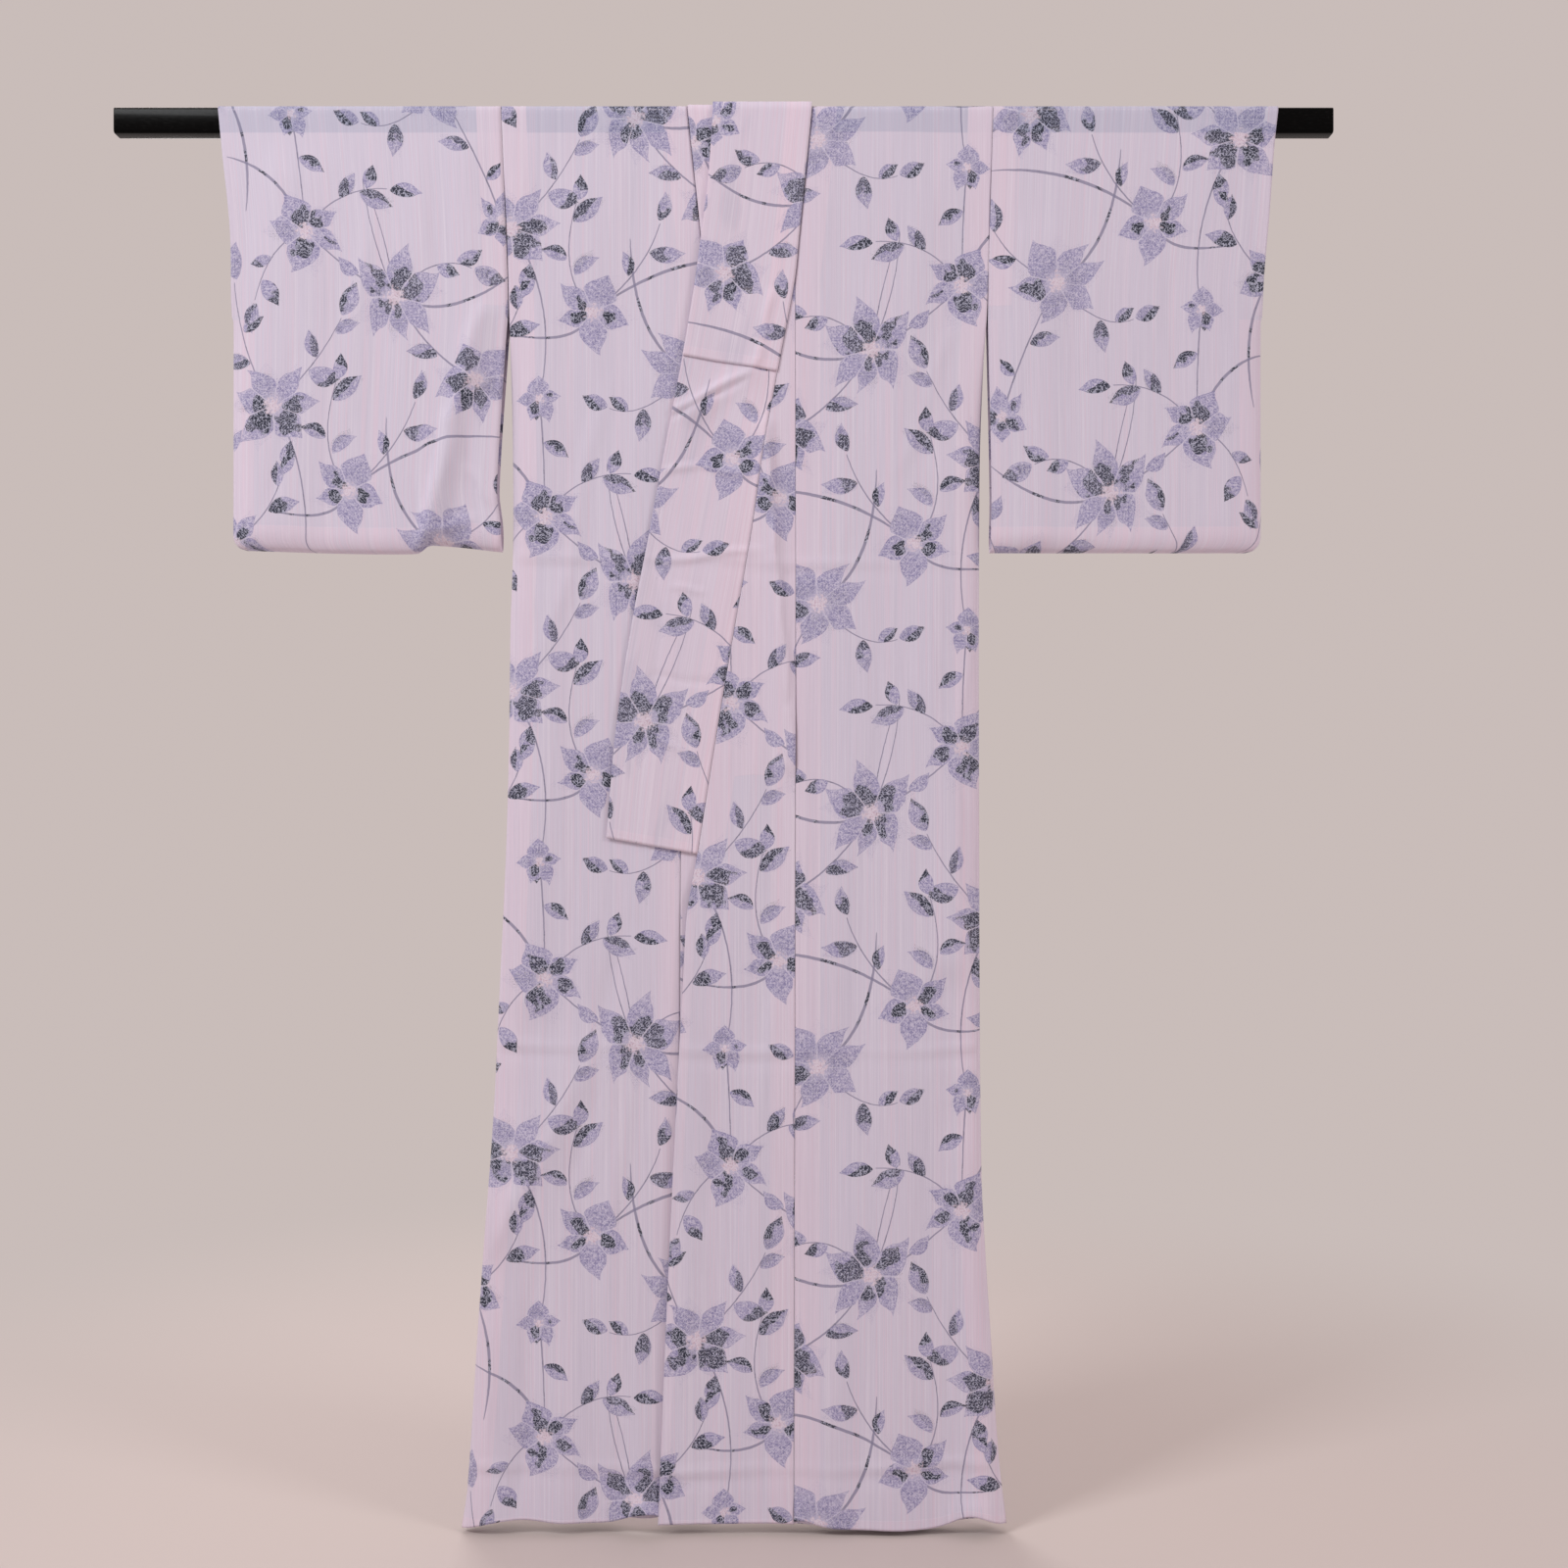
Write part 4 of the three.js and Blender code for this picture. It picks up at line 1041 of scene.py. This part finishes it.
def cut(name, columns, rows, keep=None):
    """A grid of cloth whose points hold their column and row until they are moved into place."""
    cloth = bmesh.new()
    bmesh.ops.create_grid(cloth, x_segments=len(columns) - 1, y_segments=len(rows) - 1, size=1)
    for vert in cloth.verts:
        i = round((vert.co.x + 1) / 2 * (len(columns) - 1))
        j = round((vert.co.y + 1) / 2 * (len(rows) - 1))
        vert.co = (columns[i], rows[j], 0)
    if keep:
        spare = [vert for vert in cloth.verts if not keep(vert.co.x, vert.co.y)]
        bmesh.ops.delete(cloth, geom=spare, context="VERTS")
    mesh = bpy.data.meshes.new(name)
    cloth.to_mesh(mesh)
    cloth.free()
    return mesh


def grid_places(mesh):
    places = np.empty(len(mesh.vertices) * 3)
    mesh.vertices.foreach_get("co", places)
    return places.reshape(-1, 3)[:, 0], places.reshape(-1, 3)[:, 1]


def sew(mesh, places, bolt, sheer, from_seam, from_edge):
    """Moves a cut piece into place, dyes it, joins edges that meet and gives the cloth its thickness. The
    dye is told how far the cloth shows what is behind it, and how far off a seam and a turned edge are."""
    dye(mesh, bolt, np.stack([sheer + 0 * from_seam, from_seam, from_edge], axis=1))
    mesh.vertices.foreach_set("co", places.ravel())
    cloth = bmesh.new()
    cloth.from_mesh(mesh)
    bmesh.ops.remove_doubles(cloth, verts=cloth.verts, dist=0.00002)
    bmesh.ops.dissolve_degenerate(cloth, edges=cloth.edges, dist=0.000001)
    cloth.to_mesh(mesh)
    cloth.free()
    mesh.polygons.foreach_set("use_smooth", [True] * len(mesh.polygons))
    mesh.materials.append(cloth_material)
    piece = show(mesh.name, mesh)
    wall = piece.modifiers.new("thickness", "SOLIDIFY")
    wall.thickness = THIN_CLOTH
    wall.offset = 0
    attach(piece, "root")
    return piece


# Body
# Two lengths of cloth, each from the front hem over the shoulder to the back hem, sewn together down the
# middle of the back and to each other at the sides below the sleeves.
GRAIN = 0.0055
FINE = 0.0025
HEM_BAND = 0.03
SIDE_BAND = 0.024
SEAM_BAND = 0.01
NOTHING = 1e-5
LAID_OVER = 0.165
LAID_OUT = 0.235


def collar_seam(drop):
    return curve_at(COLLAR, drop, 2)


def to_right(x, drop):
    """The matching place on the other front, which hangs a little further out."""
    return 2 * NECK_MIDDLE - x - curve_at(RIGHT_FRONT_SHIFT, drop)


def hem_drop(x, drop):
    """Drops stretched so that the last one follows the hem's slight waves."""
    return drop + (curve_at(HEM, x) - BODY_LENGTH) * ease(drop, 1.30, BODY_LENGTH)


def hem_lift(x, drop):
    """Where the front's hem has lifted off the back's, and the inside shows under it."""
    lift = sum(height * np.exp(-((x - middle) / half) ** 2) for middle, half, height in HEM_LIFTS)
    return lift * ease(drop, 1.55, BODY_LENGTH)


def left_inner(drop):
    return np.where(drop < OVERLAP_TOP, collar_seam(drop), curve_at(LEFT_OVERLAP_SEAM, drop)) + SEAM_GAP


def right_inner(drop):
    seam = to_right(collar_seam(drop), drop)
    return np.where(drop < OVERLAP_TOP, seam, curve_at(RIGHT_OVERLAP_SEAM, drop)) - SEAM_GAP


def rows_over_rod(length, band):
    """Grid lines along a strip that hangs over the rod, closer on the rod and in a band at both ends."""
    half, end = HALF_OVER_ROD, length - band
    return stations((-length, -end, FINE), (-end, -half, GRAIN), (-half, half, FINE),
                    (half, end, GRAIN), (end, length, FINE))


def body_half(name, side, inner_edge, side_edge, under, offset):
    rows = rows_over_rod(BODY_LENGTH - ROD_SIDE_DROP + HALF_OVER_ROD, HEM_BAND)
    neck = float(inner_edge(np.array(ROD_SIDE_DROP)))
    outer = float(side_edge(ROD_SIDE_DROP))
    centre = side * SEAM_GAP / 2
    neck_width = abs(neck - centre)
    panel = abs(outer - neck)
    columns = stations((-neck_width, 0, GRAIN), (0, SEAM_BAND, FINE), (SEAM_BAND, panel - SIDE_BAND, GRAIN),
                       (panel - SIDE_BAND, panel, FINE))
    back_neck = HALF_OVER_ROD + BACK_NECK - ROD_SIDE_DROP
    mesh = cut(name, columns, rows, lambda column, way: column > -NOTHING or way > back_neck - FINE)
    column, way = grid_places(mesh)
    drop, turn, is_front = strip(way)
    share = np.maximum(column, 0) / panel
    front_x = mix(inner_edge(drop), side_edge(drop), share)
    back_share = (neck_width + column) / (neck_width + panel)
    back_x = mix(centre, side_edge(drop), back_share)
    x = np.where(is_front, front_x, back_x)
    x = np.where(np.abs(turn) < 1, mix(centre, outer, back_share), x)
    drop = hem_drop(x, drop)
    layer = np.where(is_front & (np.abs(turn) >= 1), under(x), 0)
    lift = hem_lift(x, drop)
    front_depth = body_depth(x, drop, True) + lift * 0.4
    back_depth = body_depth(x, drop, False) - lift * 0.6
    places = hung(x, drop - np.where(is_front, lift, 0), turn, is_front, layer, front_depth, back_depth)
    inner = np.where(is_front, inner_edge(drop), centre)
    from_seam = np.minimum(np.abs(x - inner), np.abs(side_edge(drop) - x))
    bolt = np.stack([np.abs(x) + offset[0], way + offset[1]], axis=1)
    return sew(mesh, places, bolt, 1, from_seam, BODY_LENGTH - drop)


def left_side(drop):
    return curve_at(LEFT_SIDE, drop)


def right_side(drop):
    return curve_at(RIGHT_SIDE, drop)


def left_front_layer(x):
    """The left front lies on the right one, and comes down to the back's level towards its side."""
    return 2 * (1 - ease(x, LAID_OVER, LAID_OUT))


def on_nothing(x):
    return 0 * x


left_body = body_half("left_body", 1, left_inner, left_side, left_front_layer, (0.02, 0.11))
right_body = body_half("right_body", -1, right_inner, right_side, on_nothing, (0.035, 0.37))
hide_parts("front_left", "back_left")
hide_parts("front_right", "back_right")

# Overlaps
# A half width of cloth on each front edge, from a point at the collar down to the hem.
OVERLAP_WIDTH = 0.155
BELOW_POINT = 0.006
LOOSE_BAND = 0.012
# drop, x
FOLDED_IN = [
    (0.30, 0.016),
    (0.362, 0.021),
    (0.46, 0.029),
    (0.545, 0.037),
    (0.672, 0.047),
    (0.75, 0.056),
]


def overlap_edge(drop):
    return np.where(drop < COLLAR_END, collar_seam(drop), curve_at(OVERLAP_EDGE, drop))


def overlap(name, node, loose_edge, seam_edge, layer, offset):
    band, inner = BODY_LENGTH - HEM_BAND, OVERLAP_WIDTH - SEAM_BAND
    rows = stations((OVERLAP_TOP + BELOW_POINT, band, GRAIN), (band, BODY_LENGTH, FINE))
    columns = stations((0, LOOSE_BAND, FINE), (LOOSE_BAND, inner, GRAIN), (inner, OVERLAP_WIDTH, FINE))
    mesh = cut(name, columns, -rows[::-1])
    column, way = grid_places(mesh)
    x = mix(loose_edge(-way), seam_edge(-way), column / OVERLAP_WIDTH)
    drop = hem_drop(x, -way)
    depth = body_depth(x, drop, True) + (top_lift(x, drop) if layer >= 2 else 0)
    places = np.stack([x, -depth - layer * LAYER, SHOULDER - drop], axis=1)
    across = np.abs(x - seam_edge(drop))
    from_loose = np.abs(x - loose_edge(drop))
    by_collar = drop < COLLAR_END
    from_seam = np.where(by_collar, np.minimum(across, from_loose), across)
    shown = x if layer else to_right(x, drop)
    behind = np.where(drop < FOLDED_IN[-1][0], SEAM_ALLOWANCE + shown - curve_at(FOLDED_IN, drop), 1)
    from_seam = np.minimum(from_seam, np.maximum(behind, 0))
    from_edge = np.where(by_collar, 1, np.minimum(from_loose, BODY_LENGTH - drop))
    bolt = np.stack([across + offset[0], -drop + offset[1]], axis=1)
    piece = sew(mesh, places, bolt, 1, from_seam, from_edge)
    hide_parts(node)
    return piece


def top_lift(x, drop):
    """What lifts the outer of the two overlapping fronts: its own folds and creases."""
    return folds(TOP_FRONT_FOLDS, x, drop) + creases(TOP_CREASES, x, drop)


def left_seam(drop):
    return curve_at(LEFT_OVERLAP_SEAM, drop)


def right_seam(drop):
    return curve_at(RIGHT_OVERLAP_SEAM, drop)


def left_loose(drop):
    return overlap_edge(drop) + SEAM_GAP


def right_loose(drop):
    return to_right(overlap_edge(drop), drop) - SEAM_GAP


overlap("left_overlap", "okumi_left", left_loose, left_seam, 2, (0.19, 0.05))
overlap("right_overlap", "okumi_right", right_loose, right_seam, 0, (0.06, 0.29))

# Collar
# One long band, sewn to the fronts and round the neck. It is laid open to its full width. A second band
# covers its upper part, where it would touch the wearer's neck.
BAND_WIDTH = 0.111
BAND_GRAIN = 0.0034
BAND_TILT = 0.018
FULL_TILT = 0.260
ROD_LAYERS = [(-1.0, 2.0), (-0.5, 2.0), (0.0, 1.5), (0.5, 1.0), (0.78, 0.5), (1.0, 0.5)]


def collar(name, side, cover, last_drop, nodes, offset):
    half_rod = HALF_OVER_ROD
    end = half_rod + last_drop - ROD_SIDE_DROP
    back = half_rod + BACK_NECK - CLOTH / 2 - ROD_SIDE_DROP
    rows = stations((-end, -half_rod, BAND_GRAIN), (-half_rod, half_rod, FINE),
                    (half_rod, back, BAND_GRAIN))
    top_loose, top_seam = curve_at(COLLAR, ROD_SIDE_DROP, 1), curve_at(COLLAR, ROD_SIDE_DROP, 2)
    centre = SEAM_GAP / 2 if side > 0 else 2 * NECK_MIDDLE + SEAM_GAP / 2
    middle = float((centre - top_loose) / (top_seam - top_loose)) * BAND_WIDTH
    crosses_to = -half_rod * (0.5 if side > 0 else 1) + NOTHING
    columns = stations((0, SEAM_BAND, FINE), (SEAM_BAND, middle, BAND_GRAIN),
                       (middle, BAND_WIDTH, BAND_GRAIN))
    mesh = cut(name, columns, rows, lambda column, way: way < crosses_to or column > middle - NOTHING)
    column, way = grid_places(mesh)
    drop, turn, is_front = strip(way)
    across = column / BAND_WIDTH
    low = np.where(is_front, drop - BAND_TILT * (1 - across) * ease(drop, ROD_SIDE_DROP, FULL_TILT), drop)
    x = mix(curve_at(COLLAR, low, 1), curve_at(COLLAR, low, 2), across)
    x = np.where(is_front & (turn <= -1), x, mix(top_loose, top_seam, across))
    x = x if side > 0 else to_right(x, np.where(is_front, low, ROD_SIDE_DROP))
    if side > 0:
        layer = np.where(is_front & (turn <= -1), 2, curve_at(ROD_LAYERS, turn))
        layer = np.where(turn >= 1, 0.5 * (1 - ease(drop, ROD_SIDE_DROP, BACK_NECK)), layer)
    else:
        layer = 0 * x
    layer = layer + (1 if cover else 0)
    lift = top_lift(x, low) if side > 0 else 0
    places = hung(x, low, turn, is_front, layer, body_depth(x, low, True) + lift, body_depth(x, low, False))
    bolt = np.stack([column + offset[0], way + offset[1]], axis=1)
    piece = sew(mesh, places, bolt, 0, BAND_WIDTH - column, end + way)
    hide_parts(*nodes)
    return piece


LEFT_COVER = ("over_collar_left", "over_neck_left")
RIGHT_COVER = ("over_collar_right", "over_neck_right")
collar("left_collar", 1, False, COLLAR_END, ("collar_left", "neck_left"), (0.13, 0.02))
collar("right_collar", -1, False, COLLAR_END, ("collar_right", "neck_right"), (0.22, 0.30))
collar("left_over_collar", 1, True, OVER_COLLAR_END, LEFT_COVER, (0.03, 0.46))
collar("right_over_collar", -1, True, OVER_COLLAR_END, RIGHT_COVER, (0.24, 0.12))

# Sleeves
# Each is one length folded over the shoulder line, sewn to the body at the top and closed along its lower
# edge and, below the wearer's hand, up its outer edge. The lower outer corner is rounded.
MOUTH = 0.240
MOUTH_EASE = 0.035
SLEEVE_WIDTH = 0.32


def sleeve(name, node, edges, lower, corner, offset):
    width = SLEEVE_WIDTH
    rows = rows_over_rod(SLEEVE_DROP - ROD_SIDE_DROP + HALF_OVER_ROD, SIDE_BAND)
    columns = stations((0, width - SIDE_BAND, GRAIN), (width - SIDE_BAND, width, FINE))
    mesh = cut(name, columns, rows)
    column, way = grid_places(mesh)
    drop, turn, is_front = strip(way)
    inner, outer = curve_at(edges, drop, 1), curve_at(edges, drop, 2)
    sharp = np.clip((drop - SLEEVE_DROP + corner) / corner, 0, 1)
    outer = outer - np.sign(outer) * corner * (1 - np.sqrt(1 - sharp ** 2))
    x = mix(inner, outer, column / width)
    stretch = curve_at(lower, x) / SLEEVE_DROP - 1
    low = drop * (1 + stretch * ease(drop, MOUTH, SLEEVE_DROP))
    closed = ease(drop, MOUTH - MOUTH_EASE, MOUTH + MOUTH_EASE)
    full = mix(1, rounding(np.abs(curve_at(edges, drop, 2) - x)), closed) * rounding(SLEEVE_DROP - drop)
    settle = ease(drop, 0.01, 0.12)
    bends = creases(SLEEVE_CREASES, x, drop) + ripple(x, drop, 5)
    fore = folds(SLEEVE_FRONT_FOLDS, x, drop) + settle * bends
    aft = folds(SLEEVE_BACK_FOLDS, x, drop) + settle * ripple(x, drop, 6)
    push = (1 - full) * (aft - fore) / 2
    half = full * curve_at(HANG, drop)
    shut = (column > width - NOTHING) & (drop > MOUTH) | (drop > SLEEVE_DROP - NOTHING)
    front_depth = np.where(shut, -(aft - fore) / 2, half + full * fore - push)
    back_depth = np.where(shut, (aft - fore) / 2, half + full * aft + push)
    places = hung(x, low, turn, is_front, 0, front_depth, back_depth)
    joined = np.where(drop < SLEEVE_JOIN, column, 1)
    under = np.minimum(np.where(drop > MOUTH, width - column, 1), SLEEVE_DROP - drop)
    from_edge = np.where(drop < MOUTH, width - column, column)
    bolt = np.stack([column + offset[0], way + offset[1]], axis=1)
    piece = sew(mesh, places, bolt, 1, np.minimum(joined, under), from_edge)
    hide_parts(node)
    return piece


sleeve("left_sleeve", "sleeve_left", LEFT_SLEEVE, LEFT_SLEEVE_HEM, 0.018, (0.02, 0.27))
sleeve("right_sleeve", "sleeve_right", RIGHT_SLEEVE, RIGHT_SLEEVE_HEM, 0.016, (0.03, 0.05))

# Stitches
# The turned edges are held by blind stitches. Each shows on the outside as one short thread, and they are
# not quite evenly spaced. All of them are one mesh.
STITCH_LENGTH = 0.0016
STITCH_WIDTH = 0.0005
STITCH_SPACING = 0.016
SEWING_THREAD = tone(222, 208, 220)


def turned_line(mesh):
    """Places on a piece's faces where its turned edge ends, the way along that edge and the way out."""
    made = np.empty(len(mesh.loops) * 3)
    mesh.attributes["made"].data.foreach_get("vector", made)
    from_edge = made.reshape(-1, 3)[:, 2]
    for polygon in mesh.polygons:
        inside = from_edge[list(polygon.loop_indices)]
        if inside.min() < TURNED_EDGE <= inside.max():
            corners = [mesh.vertices[i].co for i in polygon.vertices]
            near = [corner for corner, value in zip(corners, inside) if value < TURNED_EDGE]
            far = [corner for corner, value in zip(corners, inside) if value >= TURNED_EDGE]
            into = (sum(far, Vector()) / len(far) - sum(near, Vector()) / len(near)).normalized()
            looks_out = polygon.normal.y * (-1 if polygon.center.y < 0 else 1) > 0
            out = polygon.normal if looks_out else -polygon.normal
            yield polygon.center.copy(), into.cross(out), out


def stitches(meshes):
    draw = np.random.default_rng(12)
    threads = bmesh.new()
    for mesh in meshes:
        sewn = []
        for place, ahead, out in turned_line(mesh):
            if any((place - other).length < STITCH_SPACING * draw.uniform(0.8, 1.2) for other in sewn):
                continue
            sewn.append(place)
            side = out.cross(ahead)
            axes = [ahead * STITCH_LENGTH, side * STITCH_WIDTH, out * STITCH_WIDTH]
            thread = bmesh.ops.create_icosphere(threads, subdivisions=1, radius=0.5)["verts"]
            for vert in thread:
                shape = sum((axis * value for axis, value in zip(axes, vert.co)), Vector())
                vert.co = place + out * (THIN_CLOTH / 2) + shape
    mesh = bpy.data.meshes.new("stitches")
    threads.to_mesh(mesh)
    threads.free()
    thread_material, _ = plain("sewing_thread", SEWING_THREAD, 0.7)
    mesh.materials.append(thread_material)
    piece = show("stitches", mesh)
    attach(piece, "root")


meshes = [thing.data for thing in bpy.data.objects if thing.type == "MESH"]
stitches([mesh for mesh in meshes if "made" in mesh.attributes])

[[list(corner) for corner in box] for box in (cad_box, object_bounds())]
